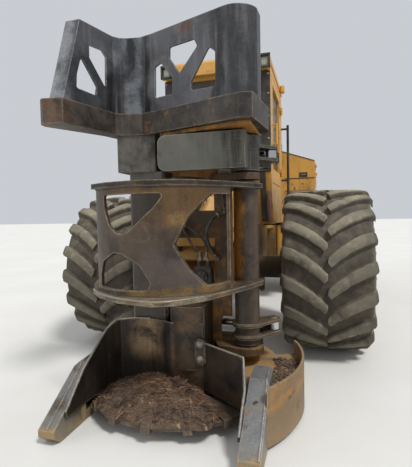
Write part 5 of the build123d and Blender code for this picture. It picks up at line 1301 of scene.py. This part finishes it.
hood_trim()
tail_lamps()
stack_details()


# Boom: hoses along its top sheet, and the pins' keeper plates
SHEET_TOP = at(0, 0.46, 1.59)
SHEET_FOOT = at(0, 0.99, 1.0)
PIVOT = at(0, 0.40, 1.55)
PIN_END = 0.393


def boom_details():
    """Four hoses clamped over the boom, and a plate with three bolts on each end of its pin."""
    hoses, ends, clamps, keepers = Shape(), Shape(), Shape(), Shape()
    way, over = run_and_over(SHEET_TOP, SHEET_FOOT)

    def on_boom(x, run, height):
        return SHEET_TOP + way * run + over * height + along_x(1, x)

    for x, bow in ((-0.20, 0.096), (-0.165, 0.104), (0.165, 0.096), (0.20, 0.104)):
        path = [on_boom(x, run, height) for run, height in
                ((0.10, 0.104), (0.20, 0.096), (0.38, bow), (0.56, 0.094), (0.66, 0.106))]
        hoses.tube(path, 0.014, 12, 8)
        for tip, inner in ((path[0], path[1]), (path[-1], path[-2])):
            out = (inner - tip).normalized()
            ends.rod(tip - out * 0.03, tip + out * 0.016, 0.021, 6, 0.003)
            ends.rod(tip - out * 0.002, tip + out * 0.045, 0.018, 14, 0.003)
    lean = Matrix.Rotation(-math.atan2(-way.z, -way.y), 3, "X")
    half = Vector((0.045, 0.014, 0.022))
    for x in (-0.182, 0.182):
        for run in (0.07, 0.30, 0.50, 0.685):
            middle = on_boom(x, run, 0.087)
            clamps.box(middle - half, middle + half, 0.005, lean)
    for side in (1, -1):
        end = PIVOT + along_x(side, PIN_END)
        keepers.rod(end - along_x(side, 0.004), end + along_x(side, 0.010), 0.058, 26, 0.003)
        for turn in turns(3, 0.5):
            foot = end + Vector((side * 0.009, 0.036 * math.cos(turn), 0.036 * math.sin(turn)))
            bolt(keepers, foot, (side, 0, 0), 0.011)
    hoses.piece("boom_hoses", HOSE, "boom", slot="dark_steel")
    ends.piece("boom_hose_ends", FITTING, "boom", slot="worn_steel")
    clamps.piece("boom_hose_clamps", BLACK_METAL, "boom", slot="barrel_paint")
    keepers.piece("boom_pin_keepers", FITTING, "boom", slot="worn_steel")


boom_details()


# Stage
FLOOR_HALF = 60
floor_mesh = bpy.data.meshes.new("floor")
floor_mesh.from_pydata([(FLOOR_HALF * i, FLOOR_HALF * j, 0) for i, j in CORNERS], [], [(0, 1, 2, 3)])
floor = bpy.data.objects.new("floor", floor_mesh)
scene.collection.objects.link(floor)
n = Nodes("floor_paper")
paper = n.mix(n.span(n.noise(0.6, 4), 0.3, 0.7), srgb(214, 212, 206), srgb(222, 220, 215))
n.fill(n.shader, {"Base Color": paper, "Roughness": 0.9})
floor_mesh.materials.append(n.mat)

world = bpy.data.worlds.new("studio")
scene.world = world
world.use_nodes = True
tree = world.node_tree
tree.nodes.clear()
sky_out = tree.nodes.new("ShaderNodeOutputWorld")
sky = tree.nodes.new("ShaderNodeBackground")
sky.inputs["Color"].default_value = srgb(228, 232, 238)
sky.inputs["Strength"].default_value = 0.75
tree.links.new(sky.outputs[0], sky_out.inputs[0])


def sun(name, strength, size, aim):
    """A sun whose light travels along aim."""
    light = bpy.data.lights.new(name, "SUN")
    light.energy = strength
    light.angle = math.radians(size)
    lamp = bpy.data.objects.new(name, light)
    lamp.rotation_mode = "QUATERNION"
    lamp.rotation_quaternion = Vector(aim).to_track_quat("-Z", "Y")
    scene.collection.objects.link(lamp)


sun("key", 2.4, 12, (-0.55, 0.45, -1.0))
sun("fill", 0.5, 40, (0.7, 0.6, -0.35))

# Camera, as solved from the photo
CAMERA_PLACE = at(1.094, 4.465, 1.47)
YAW, PITCH, ROLL = math.radians(15.943), math.radians(-2.959), math.radians(-1.172)
FOCAL_PIXELS = 395.66
IMAGE_HEIGHT = 467
right = Vector((math.cos(YAW), math.sin(YAW), 0))
level = Vector((-math.sin(YAW), math.cos(YAW), 0))
up = Vector((0, 0, 1))
look = level * math.cos(PITCH) + up * math.sin(PITCH)
above = up * math.cos(PITCH) - level * math.sin(PITCH)
cam_right = right * math.cos(ROLL) + above * math.sin(ROLL)
cam_up = above * math.cos(ROLL) - right * math.sin(ROLL)
camera = bpy.data.cameras.new("camera")
camera.sensor_width = 36
camera.lens = FOCAL_PIXELS / IMAGE_HEIGHT * camera.sensor_width
cam = bpy.data.objects.new("camera", camera)
scene.collection.objects.link(cam)
cam.matrix_world = Matrix((
    (cam_right.x, cam_up.x, -look.x, CAMERA_PLACE.x),
    (cam_right.y, cam_up.y, -look.y, CAMERA_PLACE.y),
    (cam_right.z, cam_up.z, -look.z, CAMERA_PLACE.z),
    (0, 0, 0, 1)))
camera.clip_end = 200
scene.camera = cam
scene.view_settings.view_transform = "Standard"
